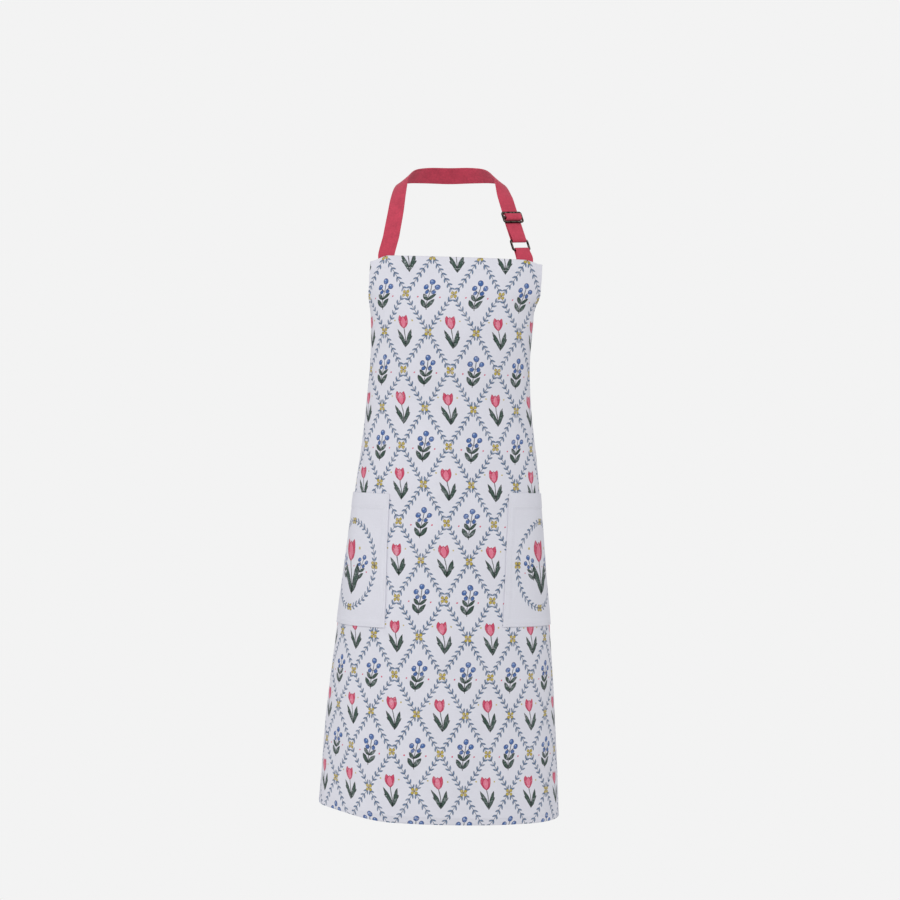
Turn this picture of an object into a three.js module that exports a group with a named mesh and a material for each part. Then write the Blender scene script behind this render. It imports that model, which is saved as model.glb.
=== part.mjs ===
// A full-length bib apron, shaped as it hangs when worn: a one-piece cotton panel with turned hems, two
// patch pockets, a neck strap with a slider and a ring to adjust it, and two waist ties held in a knot.
// Millimetres, +Z up, with the front towards -Y. The origin is where the neck strap bears on the nape.
import * as THREE from "three";

// Panel
const BIB_TOP_Z = -140;
const CLOTH_LENGTH = 860;
const BIB_HALF_WIDTH = 137;
const SKIRT_HALF_WIDTH = 320;
const ARMHOLE_DROP = 220;
const ARMHOLE_POWER = 2;
const CLOTH = 1.2;
const HEM_THICKNESS = 2.4;
const HEM_DEPTH = { top: 20, side: 10, bottom: 10 };
const HEM_STEP = 1.5;
const LEAN_DEG = 1.8; // the apron is worn slightly askew
const LEAN_PIVOT_Z = -460;
// The bib's free corners beyond the straps, and the foot's left side, which rides up.
const CORNER_DROOP = { left: 9, right: 6, fromArc: 106, overDrop: 110 };
const FOOT_LIFT = { height: 9.5, fromArc: -70, overArc: 145, fromDrop: 560 };
const ROW_PITCH = 30;
const COLUMNS = 36;

// Pockets
const POCKET_INNER_ARC = 93;
const POCKET_WIDTH = 145;
const POCKET_HEIGHT = 203;
const POCKET_TOP_DROP = { left: 365.5, right: 358.5 };
const POCKET_SLANT = { left: 1.3, right: 6 }; // how far each mouth lies to the right of its foot
const POCKET_BULGE = 0.5;
const POCKET_HEM_DEPTH = 22;
const POCKET_HEM_THICKNESS = 1.6;
const POCKET_COLUMNS = 12;
const POCKET_ROWS = 10;

// Straps and their metal
const STRAP_WIDTH = 27;
const STRAP = 1.5;
const STRAP_ARC = { left: 111, right: 108 }; // from the bib's centre line to the middle of each strap
const SEWN_DROPS = [26, 12, 2, -4]; // of a strap's stations behind the bib's top edge, from its hidden end up
const WIRE = 3.4;
const WIRE_ROUND = 1;
const SLOT_WIDTH = 29.4;
const SLIDER_BAR_PITCH = 8.4;
const RING_BAR_PITCH = 17.2;
const RING_TOP_BAR = 40; // from the slider's middle, along the strap
const RING_OUT = -3.65; // how far the ring lies under the slider
const RING_SLOT_WIDTH = 25.6;
const RING_STRAP_WIDTH = 24.4; // the strap is squeezed a little in the ring
const TAB_LEAD = 4; // straight strap below the ring's bottom bar
const GAP = 0.3;
const SEWN_GAP = 1.3; // a flat strap behind the curved panel

// Waist ties
const TIE_DROP = 236; // from the bib's top edge to the middle of the tie
const TIE_SEWN = 28;
const TIE_STATIONS = 9;
const TIE_EASE = 8; // between the run round the waist and the first row of the tie's end
const KNOT = { width: 37, depth: 13, height: 17, holeWidth: 29, holeDepth: 5, round: 1.5, drop: 28 };

// The cloth's horizontal sections: half an ellipse before the widest line and half an ellipse behind it.
const SECTIONS = [
  { z: -130, middleX: 0, halfWidth: 167, frontY: -146, frontDepth: 63, backDepth: 90 },
  { z: -190, middleX: -1.5, halfWidth: 141.5, frontY: -162, frontDepth: 70, backDepth: 100 },
  { z: -213, middleX: -4.5, halfWidth: 129, frontY: -166.5, frontDepth: 74, backDepth: 104 },
  { z: -240, middleX: -3.6, halfWidth: 126.3, frontY: -170, frontDepth: 78, backDepth: 109 },
  { z: -300, middleX: -4.2, halfWidth: 124.3, frontY: -165, frontDepth: 78, backDepth: 116 },
  { z: -360, middleX: -4.4, halfWidth: 128, frontY: -158, frontDepth: 80, backDepth: 120 },
  { z: -440, middleX: -2.8, halfWidth: 136.7, frontY: -163, frontDepth: 90, backDepth: 128 },
  { z: -515, middleX: -2.9, halfWidth: 145.6, frontY: -172, frontDepth: 101, backDepth: 138 },
  { z: -600, middleX: -2.8, halfWidth: 155.2, frontY: -180, frontDepth: 113, backDepth: 148 },
  { z: -700, middleX: -1.9, halfWidth: 166, frontY: -187, frontDepth: 125, backDepth: 160 },
  { z: -850, middleX: -1.9, halfWidth: 178.5, frontY: -197, frontDepth: 139, backDepth: 176 },
  { z: -1010, middleX: 0, halfWidth: 189, frontY: -207, frontDepth: 150, backDepth: 190 },
];

// Soft upright folds in the skirt, each growing from its start height down to the hem.
const FOLDS = [
  { arc: -312, halfWidth: 52, out: 5, startZ: -400 },
  { arc: -190, halfWidth: 50, out: -2, startZ: -560 },
  { arc: -105, halfWidth: 60, out: 2, startZ: -700 },
  { arc: 60, halfWidth: 60, out: -1.5, startZ: -720 },
  { arc: 165, halfWidth: 50, out: 2, startZ: -640 },
  { arc: 315, halfWidth: 50, out: 4.5, startZ: -420 },
];

// The neck strap's middle line from above the bib's left corner, over both shoulders, to the slider,
// with the direction its outer face looks.
const NECK_LINE = [
  { x: -91, y: -117, z: -106, nx: -0.28, ny: -0.85, nz: 0.44 },
  { x: -84.5, y: -100, z: -68, nx: -0.32, ny: -0.76, nz: 0.56 },
  { x: -80, y: -81, z: -37, nx: -0.45, ny: -0.55, nz: 0.7 },
  { x: -74, y: -57, z: -14, nx: -0.55, ny: -0.1, nz: 0.83 },
  { x: -60, y: -31, z: -4, nx: -0.58, ny: 0.45, nz: 0.68 },
  { x: -35, y: -9, z: 0, nx: -0.33, ny: 0.8, nz: 0.5 },
  { x: 0, y: 0.7, z: 0.3, nx: 0, ny: 0.9, nz: 0.43 },
  { x: 35, y: -9, z: 0, nx: 0.33, ny: 0.8, nz: 0.5 },
  { x: 61, y: -31, z: -4, nx: 0.58, ny: 0.45, nz: 0.68 },
  { x: 77, y: -57, z: -15, nx: 0.56, ny: -0.1, nz: 0.83 },
  { x: 86, y: -80, z: -42, nx: 0.38, ny: -0.66, nz: 0.65 },
];
const NECK_STEPS = 4;
const SLIDER_MIDDLE = new THREE.Vector3(96.8, -100.3, -74.4);
const STRAP_DOWN = new THREE.Vector3(0.266, -0.396, -0.884).normalize();
const SLIDER_FACE = new THREE.Vector3(0.4, -0.79, 0.464);

// How the strap weaves through the slider, measured along the strap and out of its face.
const WEAVE = [
  { along: -13, out: -2.85 },
  { along: -8.2, out: -2.85 },
  { along: -6.1, out: -2.4 },
  { along: -5.2, out: 0.5 },
  { along: -4.6, out: 3.1 },
  { along: -2.6, out: 4.65 },
  { along: 2.6, out: 4.65 },
  { along: 4.6, out: 3.1 },
  { along: 5.2, out: 0.5 },
  { along: 6.1, out: -2.4 },
  { along: 9.2, out: -2.85 },
];

// How it comes back up from the ring behind itself, to the slider's middle bar.
const WAY_BACK = [
  { along: 12, out: -4.9 },
  { along: 8, out: -4.7 },
  { along: 4.4, out: -3.7 },
];

// Each waist tie from the run round the waist to its free end: bunched in the knot, then hanging flat.
const TIE_END = [
  { x: 25, drop: 1, width: 23, thick: 2, turn: 0 },
  { x: 13.5, drop: 8, width: 15, thick: 2.4, turn: 0 },
  { x: 7.5, drop: 20, width: 12.5, thick: 2.6, turn: 0 },
  { x: 7.5, drop: 38, width: 12.5, thick: 2.6, turn: 0 },
  { x: 11, drop: 62, width: 20, thick: 2, turn: 6 },
  { x: 16, drop: 105, width: 27, thick: 1.5, turn: 14 },
  { x: 20, drop: 240, width: 27, thick: 1.5, turn: 4 },
  { x: 27, drop: 390, width: 27, thick: 1.5, turn: -12 },
  { x: 30, drop: 520, width: 27, thick: 1.5, turn: -4 },
];
const TIE_END_STEPS = 3;

const cottonPrint = new THREE.MeshStandardMaterial({ color: 0xe6e5ee, roughness: 0.9, metalness: 0 });
const cottonPlain = new THREE.MeshStandardMaterial({ color: 0xe8e7ef, roughness: 0.9, metalness: 0 });
const strapCotton = new THREE.MeshStandardMaterial({ color: 0xc24a5f, roughness: 0.85, metalness: 0 });
const darkMetal = new THREE.MeshStandardMaterial({ color: 0x3a302d, roughness: 0.35, metalness: 1 });

const range = (count) => Array.from({ length: count }, (_, i) => i);
const mix = (a, b, t) => a + (b - a) * t;
const smooth = (t) => {
  const k = Math.min(1, Math.max(0, t));
  return k * k * (3 - 2 * k);
};

// A smooth curve through the values of one column of a table, by another column that rises or falls.
function through(table, key, column, at) {
  const last = table.length - 1;
  const slope = (i) => {
    const [a, b] = [table[Math.max(0, i - 1)], table[Math.min(last, i + 1)]];
    return (b[column] - a[column]) / (b[key] - a[key]);
  };
  const rising = table[last][key] > table[0][key];
  let i = 0;
  while (i < last - 1 && (rising ? at > table[i + 1][key] : at < table[i + 1][key])) i += 1;
  const span = table[i + 1][key] - table[i][key];
  const t = (at - table[i][key]) / span;
  const [t2, t3] = [t * t, t * t * t];
  return (
    (2 * t3 - 3 * t2 + 1) * table[i][column] +
    (t3 - 2 * t2 + t) * span * slope(i) +
    (3 * t2 - 2 * t3) * table[i + 1][column] +
    (t3 - t2) * span * slope(i + 1)
  );
}

// The half section at a height, as points from the front centre to the back centre with their arc lengths.
const SECTION_STEPS = 120;
const knownSections = new Map();
function sectionAt(z) {
  if (knownSections.has(z)) return knownSections.get(z);
  const at = (column) => through(SECTIONS, "z", column, z);
  const [halfWidth, frontDepth, backDepth] = [at("halfWidth"), at("frontDepth"), at("backDepth")];
  const [middleX, sideY] = [at("middleX"), at("frontY") + frontDepth];
  const line = [];
  let arc = 0;
  for (const i of range(SECTION_STEPS + 1)) {
    const turn = (Math.PI * i) / SECTION_STEPS;
    const depth = Math.cos(turn) > 0 ? frontDepth : backDepth;
    const point = { x: halfWidth * Math.sin(turn), y: sideY - depth * Math.cos(turn) };
    if (i > 0) arc += Math.hypot(point.x - line[i - 1].x, point.y - line[i - 1].y);
    line.push({ ...point, arc });
  }
  line.middleX = middleX;
  knownSections.set(z, line);
  return line;
}

function foldAt(arc, z) {
  const bottom = BIB_TOP_Z - CLOTH_LENGTH;
  let out = 0;
  for (const fold of FOLDS) {
    const reach = Math.abs(arc - fold.arc) / fold.halfWidth;
    const grown = smooth((fold.startZ - z) / (fold.startZ - bottom));
    if (reach < 1) out += fold.out * grown * (1 - reach * reach) ** 2;
  }
  return out;
}

const leanTurn = new THREE.Matrix4()
  .makeTranslation(0, 0, LEAN_PIVOT_Z)
  .multiply(new THREE.Matrix4().makeRotationY(THREE.MathUtils.degToRad(LEAN_DEG)))
  .multiply(new THREE.Matrix4().makeTranslation(0, 0, -LEAN_PIVOT_Z));

// A point of the outer face of the draped cloth, by arc length from the centre line and height.
function outerFace(arc, z) {
  const line = sectionAt(z);
  const reach = Math.abs(arc);
  let i = 1;
  while (i < line.length - 1 && line[i].arc < reach) i += 1;
  const t = (reach - line[i - 1].arc) / (line[i].arc - line[i - 1].arc);
  const [dx, dy] = [line[i].x - line[i - 1].x, line[i].y - line[i - 1].y];
  const step = Math.hypot(dx, dy);
  const fold = foldAt(arc, z);
  const x = mix(line[i - 1].x, line[i].x, t) + (fold * dy) / step;
  const y = mix(line[i - 1].y, line[i].y, t) - (fold * dx) / step;
  return new THREE.Vector3(line.middleX + (arc < 0 ? -x : x), y, z).applyMatrix4(leanTurn);
}

// The direction that the cloth's outer face looks.
function outward(arc, z) {
  const reach = 2;
  const along = outerFace(arc + reach, z).sub(outerFace(arc - reach, z));
  const down = outerFace(arc, z - reach).sub(outerFace(arc, z + reach));
  return down.cross(along).normalize();
}

// A point at a depth under the cloth's outer face, or above it where the depth is negative.
function under(arc, z, depth) {
  return outerFace(arc, z).addScaledVector(outward(arc, z), -depth);
}

// A closed wall between two grids of points, whose rows times columns direction is the outer side.
function wall(outer, inner) {
  const [rows, columns] = [outer.length, outer[0].length];
  const points = [...outer.flat(), ...inner.flat()];
  const at = (row, column, side) => (side * rows + row) * columns + column;
  const faces = [];
  const quad = (a, b, c, d) => faces.push(a, b, c, a, c, d);
  for (const r of range(rows - 1)) {
    for (const c of range(columns - 1)) {
      quad(at(r, c, 0), at(r + 1, c, 0), at(r + 1, c + 1, 0), at(r, c + 1, 0));
      quad(at(r, c, 1), at(r, c + 1, 1), at(r + 1, c + 1, 1), at(r + 1, c, 1));
    }
  }
  for (const c of range(columns - 1)) {
    quad(at(0, c, 0), at(0, c + 1, 0), at(0, c + 1, 1), at(0, c, 1));
    quad(at(rows - 1, c + 1, 0), at(rows - 1, c, 0), at(rows - 1, c, 1), at(rows - 1, c + 1, 1));
  }
  const end = columns - 1;
  for (const r of range(rows - 1)) {
    quad(at(r + 1, 0, 0), at(r, 0, 0), at(r, 0, 1), at(r + 1, 0, 1));
    quad(at(r, end, 0), at(r + 1, end, 0), at(r + 1, end, 1), at(r, end, 1));
  }
  const geometry = new THREE.BufferGeometry();
  const flat = points.flatMap((p) => [p.x, p.y, p.z]);
  geometry.setAttribute("position", new THREE.Float32BufferAttribute(flat, 3));
  geometry.setIndex(faces);
  geometry.computeVertexNormals();
  return geometry;
}

// A flat strap along stations, each with its middle point, outer face's direction, width and thickness.
function strap(stations) {
  const edge = (station, side, face) => {
    const across = new THREE.Vector3().crossVectors(station.face, station.along).normalize();
    return station.middle
      .clone()
      .addScaledVector(across, (side * station.width) / 2)
      .addScaledVector(station.face, (face * station.thick) / 2);
  };
  const grid = (face) => stations.map((s) => [edge(s, -1, face), edge(s, 0, face), edge(s, 1, face)]);
  return wall(grid(1), grid(-1));
}

// Fills in the direction along a strap at each station and squares its face to that direction.
function squared(stations) {
  return stations.map((station, i) => {
    const before = stations[Math.max(0, i - 1)].middle;
    const after = stations[Math.min(stations.length - 1, i + 1)].middle;
    const along = after.clone().sub(before).normalize();
    const face = station.face.clone().addScaledVector(along, -station.face.dot(along)).normalize();
    return { width: STRAP_WIDTH, thick: STRAP, ...station, along, face };
  });
}

function mesh(name, geometry, material) {
  const made = new THREE.Mesh(geometry, material);
  made.name = name;
  return made;
}

// Half the panel's cut width at a drop below the bib's top edge: the armholes, then straight sides.
function halfWidthAt(drop) {
  const share = Math.min(1, drop / ARMHOLE_DROP);
  return mix(BIB_HALF_WIDTH, SKIRT_HALF_WIDTH, share ** ARMHOLE_POWER);
}

// Even steps from the start to the end of a cut, with two close lines where each hem begins.
function linesWithHems(start, end, count, startHem, endHem) {
  const [from, to] = [start + startHem + HEM_STEP, end - endHem - HEM_STEP];
  const between = range(count + 1).map((i) => mix(from, to, i / count));
  return [start, start + startHem, ...between, end - endHem, end];
}

// How far one of the bib's free corners hangs down.
function droopAt(arc, drop) {
  const { left, right, fromArc, overDrop } = CORNER_DROOP;
  const outer = smooth((Math.abs(arc) - fromArc) / (BIB_HALF_WIDTH - fromArc));
  return (arc < 0 ? left : right) * outer * (1 - smooth(drop / overDrop));
}

// How far the foot's left side is raised.
function liftAt(arc, drop) {
  const { height, fromArc, overArc, fromDrop } = FOOT_LIFT;
  const low = smooth((drop - fromDrop) / (CLOTH_LENGTH - fromDrop));
  return height * low * smooth((fromArc - arc) / overArc);
}

// The height of a place on the panel: its drop below the top edge, with the droop and the lift.
function heightAt(arc, drop) {
  return BIB_TOP_Z - drop - droopAt(arc, drop) + liftAt(arc, drop);
}

function apronPanel() {
  const rowCount = Math.round(CLOTH_LENGTH / ROW_PITCH);
  const drops = linesWithHems(0, CLOTH_LENGTH, rowCount, HEM_DEPTH.top, HEM_DEPTH.bottom);
  const grids = { outer: [], inner: [] };
  drops.forEach((drop, row) => {
    const half = halfWidthAt(drop);
    const arcs = linesWithHems(-half, half, COLUMNS, HEM_DEPTH.side, HEM_DEPTH.side);
    const inHem = (index, count) => index < 2 || index >= count - 2;
    const depthAt = (column) =>
      inHem(row, drops.length) || inHem(column, arcs.length) ? HEM_THICKNESS : CLOTH;
    grids.outer.push(arcs.map((arc) => outerFace(arc, heightAt(arc, drop))));
    grids.inner.push(arcs.map((arc, column) => under(arc, heightAt(arc, drop), depthAt(column))));
  });
  return mesh("apron_panel", wall(grids.outer, grids.inner), cottonPrint);
}

// A patch pocket, sewn close to the panel at its sides and foot and standing off a little at its mouth.
function pocket(side) {
  const word = side < 0 ? "left" : "right";
  const hemShare = POCKET_HEM_DEPTH / POCKET_HEIGHT;
  const rows = [0, hemShare, hemShare + HEM_STEP / POCKET_HEIGHT];
  rows.push(...range(POCKET_ROWS).map((i) => mix(rows[2], 1, (i + 1) / POCKET_ROWS)));
  const grids = { outer: [], inner: [] };
  rows.forEach((share, row) => {
    const z = BIB_TOP_Z - POCKET_TOP_DROP[word] - share * POCKET_HEIGHT;
    const middle = side * (POCKET_INNER_ARC + POCKET_WIDTH / 2) + POCKET_SLANT[word] * (1 - share);
    const thick = row < 2 ? POCKET_HEM_THICKNESS : CLOTH;
    const places = range(POCKET_COLUMNS + 1).map((column) => {
      const across = (2 * column) / POCKET_COLUMNS - 1;
      const arc = middle + (across * POCKET_WIDTH) / 2;
      const bulge = POCKET_BULGE * (1 - across ** 4) * (1 - share ** 3);
      return { arc, inner: GAP + bulge, outer: GAP + bulge + thick };
    });
    grids.outer.push(places.map((p) => under(p.arc, z, -p.outer)));
    grids.inner.push(places.map((p) => under(p.arc, z, -p.inner)));
  });
  return mesh(`pocket_${word}`, wall(grids.outer, grids.inner), cottonPlain);
}

// Stations of a strap sewn behind the bib's top hem, from its hidden end up to just clear of the edge.
function sewnStations(arc, layer) {
  const depth = HEM_THICKNESS + SEWN_GAP + STRAP / 2 + layer * (STRAP + GAP);
  return SEWN_DROPS.map((drop) => {
    const z = BIB_TOP_Z - drop;
    return { middle: under(arc, z, depth), face: outward(arc, z) };
  });
}

// A point in the plane of the slider and the ring: along the strap, and out of its face.
const sliderFace = SLIDER_FACE.clone()
  .addScaledVector(STRAP_DOWN, -SLIDER_FACE.dot(STRAP_DOWN))
  .normalize();
function adjusterPoint(along, out) {
  return SLIDER_MIDDLE.clone().addScaledVector(STRAP_DOWN, along).addScaledVector(sliderFace, out);
}

// Strap stations along a path in the adjuster's plane, with faces square to the path.
function adjusterStations(path) {
  return path.map((place, i) => {
    const before = path[Math.max(0, i - 1)];
    const after = path[Math.min(path.length - 1, i + 1)];
    const run = new THREE.Vector2(after.along - before.along, after.out - before.out).normalize();
    const face = STRAP_DOWN.clone().multiplyScalar(-run.y).addScaledVector(sliderFace, run.x);
    return { width: place.width ?? STRAP_WIDTH, middle: adjusterPoint(place.along, place.out), face };
  });
}

// Half a turn of strap round a bar, starting on its front or back side.
const TURN_STEPS = 8;
const TURN_RADIUS = WIRE / 2 + GAP + STRAP / 2;
function roundBar(along, out, first, last) {
  return range(TURN_STEPS + 1).map((i) => {
    const angle = THREE.MathUtils.degToRad(mix(first, last, i / TURN_STEPS));
    return { along: along + TURN_RADIUS * Math.sin(angle), out: out + TURN_RADIUS * Math.cos(angle) };
  });
}

function neckLineStations() {
  const rows = NECK_LINE.map((row, i) => ({ ...row, i }));
  const columns = ["x", "y", "z", "nx", "ny", "nz"];
  return range((rows.length - 1) * NECK_STEPS + 1).map((k) => {
    const [x, y, z, nx, ny, nz] = columns.map((c) => through(rows, "i", c, k / NECK_STEPS));
    return { middle: new THREE.Vector3(x, y, z), face: new THREE.Vector3(nx, ny, nz) };
  });
}

// One strap from the bib's left corner, round the nape, through the slider, round the ring's top bar
// and back up behind itself to the slider's middle bar, which it wraps.
function neckStrap() {
  const inRing = (place) => ({ ...place, width: RING_STRAP_WIDTH });
  const path = [
    ...WEAVE,
    ...roundBar(RING_TOP_BAR, RING_OUT, 0, 180).map(inRing),
    ...WAY_BACK,
    ...roundBar(0, 0, 180, 360),
  ];
  const stations = [...sewnStations(-STRAP_ARC.left, 0), ...neckLineStations(), ...adjusterStations(path)];
  return mesh("neck_strap", strap(squared(stations)), strapCotton);
}

// A short doubled strap from behind the bib's right corner, over the ring's bottom bar.
function ringTab() {
  const bar = RING_TOP_BAR + RING_BAR_PITCH;
  const foot = (layer) => ({ along: bar + TAB_LEAD, out: RING_OUT + layer * TURN_RADIUS });
  const path = [foot(1), ...roundBar(bar, RING_OUT, 360, 180), foot(-1)];
  const turn = adjusterStations(path.map((place) => ({ ...place, width: RING_STRAP_WIDTH })));
  const front = sewnStations(STRAP_ARC.right, 0);
  const back = sewnStations(STRAP_ARC.right, 1).reverse();
  [...turn, ...back].forEach((station) => station.face.negate());
  return mesh("ring_tab", strap(squared([...front, ...turn, ...back])), strapCotton);
}

// A metal frame of round-edged bars with one or more slots, lying in the adjuster's plane.
function strapMetal(name, slotWidth, barPitch, slots, along, out) {
  const [halfWidth, halfHeight] = [slotWidth / 2 + WIRE, (barPitch * slots + WIRE) / 2];
  const outline = roundedRectangle(new THREE.Shape(), 0, halfWidth, halfHeight, WIRE);
  for (const slot of range(slots)) {
    const middle = (slot - (slots - 1) / 2) * barPitch;
    const halfSlot = (barPitch - WIRE) / 2;
    outline.holes.push(roundedRectangle(new THREE.Path(), middle, slotWidth / 2, halfSlot, WIRE_ROUND));
  }
  const geometry = new THREE.ExtrudeGeometry(outline, {
    depth: WIRE - 2 * WIRE_ROUND,
    bevelThickness: WIRE_ROUND,
    bevelSize: WIRE_ROUND,
    bevelOffset: -WIRE_ROUND,
    bevelSegments: 2,
    curveSegments: 3,
  });
  geometry.translate(0, 0, WIRE_ROUND - WIRE / 2);
  const across = new THREE.Vector3().crossVectors(sliderFace, STRAP_DOWN);
  const up = STRAP_DOWN.clone().negate();
  const made = mesh(name, geometry, darkMetal);
  made.position.copy(adjusterPoint(along, out));
  made.quaternion.setFromRotationMatrix(new THREE.Matrix4().makeBasis(across, up, sliderFace));
  return made;
}

function roundedRectangle(path, middleY, halfWidth, halfHeight, corner) {
  const [left, right, bottom, top] = [-halfWidth, halfWidth, middleY - halfHeight, middleY + halfHeight];
  path.moveTo(left + corner, bottom);
  path.lineTo(right - corner, bottom);
  path.absarc(right - corner, bottom + corner, corner, -Math.PI / 2, 0);
  path.lineTo(right, top - corner);
  path.absarc(right - corner, top - corner, corner, 0, Math.PI / 2);
  path.lineTo(left + corner, top);
  path.absarc(left + corner, top - corner, corner, Math.PI / 2, Math.PI);
  path.lineTo(left, bottom + corner);
  path.absarc(left + corner, bottom + corner, corner, Math.PI, (3 * Math.PI) / 2);
  return path;
}

// The waist ties run behind the panel's side hems, round to the middle of the back, down through the knot.
const TIE_Z = BIB_TOP_Z - TIE_DROP;
const TIE_DEPTH = HEM_THICKNESS + SEWN_GAP + STRAP / 2;
const waist = sectionAt(TIE_Z);
const backOfWaist = waist[SECTION_STEPS].y - TIE_DEPTH;
function waistTie(side) {
  const runStart = SKIRT_HALF_WIDTH - TIE_SEWN;
  const runEnd = waist[SECTION_STEPS].arc - TIE_END[0].x - TIE_EASE;
  const run = range(TIE_STATIONS).map((i) => {
    const arc = side * mix(runStart, runEnd, i / (TIE_STATIONS - 1));
    return { middle: under(arc, TIE_Z, TIE_DEPTH), face: outward(arc, TIE_Z), thick: STRAP };
  });
  const rows = TIE_END.map((row, i) => ({ ...row, i }));
  const end = range((rows.length - 1) * TIE_END_STEPS + 1).map((k) => {
    const at = (column) => through(rows, "i", column, k / TIE_END_STEPS);
    const turn = THREE.MathUtils.degToRad(side * at("turn"));
    const middle = new THREE.Vector3(waist.middleX + side * at("x"), backOfWaist, TIE_Z - at("drop"));
    const face = new THREE.Vector3(Math.sin(turn), Math.cos(turn), 0);
    return { middle: middle.applyMatrix4(leanTurn), face, width: at("width"), thick: at("thick") };
  });
  const name = side < 0 ? "waist_tie_left" : "waist_tie_right";
  return mesh(name, strap(squared([...run, ...end])), strapCotton);
}

// The knot that both ties pass down through, as one plain band.
function tieKnot() {
  const outline = roundedRectangle(new THREE.Shape(), 0, KNOT.width / 2, KNOT.depth / 2, KNOT.depth / 3);
  const { holeWidth, holeDepth, round, height } = KNOT;
  outline.holes.push(roundedRectangle(new THREE.Path(), 0, holeWidth / 2, holeDepth / 2, holeDepth / 3));
  const geometry = new THREE.ExtrudeGeometry(outline, {
    depth: height - 2 * round,
    bevelThickness: round,
    bevelSize: round,
    bevelOffset: -round,
    bevelSegments: 2,
    curveSegments: 4,
  });
  geometry.translate(0, 0, round - height / 2);
  const made = mesh("tie_knot", geometry, strapCotton);
  made.position.set(waist.middleX, backOfWaist, TIE_Z - KNOT.drop).applyMatrix4(leanTurn);
  made.rotation.y = THREE.MathUtils.degToRad(LEAN_DEG);
  return made;
}

const apron = new THREE.Group();
apron.name = "bib_apron";
apron.add(apronPanel());
for (const side of [-1, 1]) apron.add(pocket(side), waistTie(side));
apron.add(neckStrap(), ringTab(), tieKnot());
apron.add(strapMetal("strap_slider", SLOT_WIDTH, SLIDER_BAR_PITCH, 2, 0, 0));
const ringMiddle = RING_TOP_BAR + RING_BAR_PITCH / 2;
apron.add(strapMetal("strap_ring", RING_SLOT_WIDTH, RING_BAR_PITCH, 1, ringMiddle, RING_OUT));

export default apron;
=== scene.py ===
"""A full-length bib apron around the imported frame: cloth, straps, metal, thread, light and camera.

Lengths are in millimetres up to the meshes, which are in metres. The front faces -Y and +Z is up.
"""
import math

import bpy
import numpy as np
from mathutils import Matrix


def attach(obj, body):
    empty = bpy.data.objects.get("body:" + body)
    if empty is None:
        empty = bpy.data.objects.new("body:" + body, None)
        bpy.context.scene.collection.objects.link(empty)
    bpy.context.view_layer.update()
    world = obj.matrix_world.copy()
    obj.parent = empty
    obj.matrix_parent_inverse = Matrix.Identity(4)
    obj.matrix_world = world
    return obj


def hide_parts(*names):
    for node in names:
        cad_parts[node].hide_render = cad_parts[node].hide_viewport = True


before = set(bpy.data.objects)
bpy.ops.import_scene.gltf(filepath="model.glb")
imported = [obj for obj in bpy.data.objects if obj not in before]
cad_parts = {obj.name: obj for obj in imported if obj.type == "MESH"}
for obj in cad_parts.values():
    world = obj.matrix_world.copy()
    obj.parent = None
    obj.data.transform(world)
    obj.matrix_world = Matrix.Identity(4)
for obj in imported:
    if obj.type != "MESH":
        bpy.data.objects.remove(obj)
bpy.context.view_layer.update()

MM = 0.001
FULL_TURN = 2.0 * math.pi
SIDE_NAMES = {-1: "left", 1: "right"}

# Panel
BIB_TOP_Z = -140.0
CLOTH_LENGTH = 860.0
BIB_HALF_WIDTH = 137.0
SKIRT_HALF_WIDTH = 320.0
ARMHOLE_DROP = 220.0
ARMHOLE_POWER = 2
CLOTH = 0.9
HEM_THICKNESS = 2.4
SIDE_HEM = 10.0
TOP_HEM = 20.0
HEM_EASE = 0.9
STITCH_INSET = 2.0
TOP_ROLL = 1.3
TOP_ROLL_DROP = 37.0
FOOT_CURL = 3.4
CURL_TO_ARC = 120.0
CURL_FADE = 90.0
LEAN = math.radians(1.8)
LEAN_PIVOT_Z = -460.0
DROOP = {-1: 9.0, 1: 6.0}
DROOP_FROM_ARC = 106.0
DROOP_OVER_DROP = 110.0
FOOT_LIFT = 9.5
LIFT_FROM_ARC = -70.0
LIFT_OVER_ARC = 145.0
LIFT_FROM_DROP = 560.0
PANEL_ROWS = 190
PANEL_COLUMNS = 130
SIDE_LINES = (0.0, 0.7, 2.2, 4.5, 6.8, 8.0, 9.2, 10.0, 10.9, 13.0)
TOP_LINES = (0.0, 0.7, 2.2, 6.0, 11.0, 15.0, 16.8, 18.0, 19.2, 20.0, 20.9, 23.0)
RIM_BULGE = 0.4

# Relief along the hems; each pucker has its pace, wander, distance from the edge and spread.
GROOVE_DEPTH = 0.3
GROOVE_SPREAD = 1.1
PUCKER_HEIGHT = 0.14
PUCKER_WANDER = 2.0
SIDE_PUCKER = (1.9, 31.0, 5.0, 6.0)
FOOT_PUCKER = (1.9, 29.0, 5.0, 6.0)
TOP_PUCKER = (2.1, 37.0, 15.0, 7.0)
INNER_RELIEF = 0.5

# Pockets
POCKET_INNER_ARC = 93.0
POCKET_WIDTH = 145.0
POCKET_HEIGHT = 203.0
POCKET_TOP_DROP = {-1: 365.5, 1: 358.5}
POCKET_SLANT = {-1: 1.3, 1: 6.0}
POCKET_BULGE = 0.5
POCKET_HEM = 22.0
POCKET_HEM_THICKNESS = 1.6
POCKET_TURNING = 9.0
POCKET_STITCH_INSET = 3.0
POCKET_ROWS = 60
POCKET_COLUMNS = 44
POCKET_LINES = (0.0, 0.5, 1.4, 2.2, 3.0, 3.8, 6.0, 9.0, 10.2)
MOUTH_LINES = (0.0, 0.5, 1.6, 6.0, 12.0, 18.0, 19.2, 20.0, 20.8, 22.0, 23.0)

# Where the two sides of a cloth lie in the bake map: low and high corners, and the rim's width.
BAKE_FRONT = np.array(((0.008, 0.008), (0.732, 0.992)))
BAKE_BACK = np.array(((0.756, 0.008), (0.992, 0.992)))
BAKE_RIM = 0.003

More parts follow.
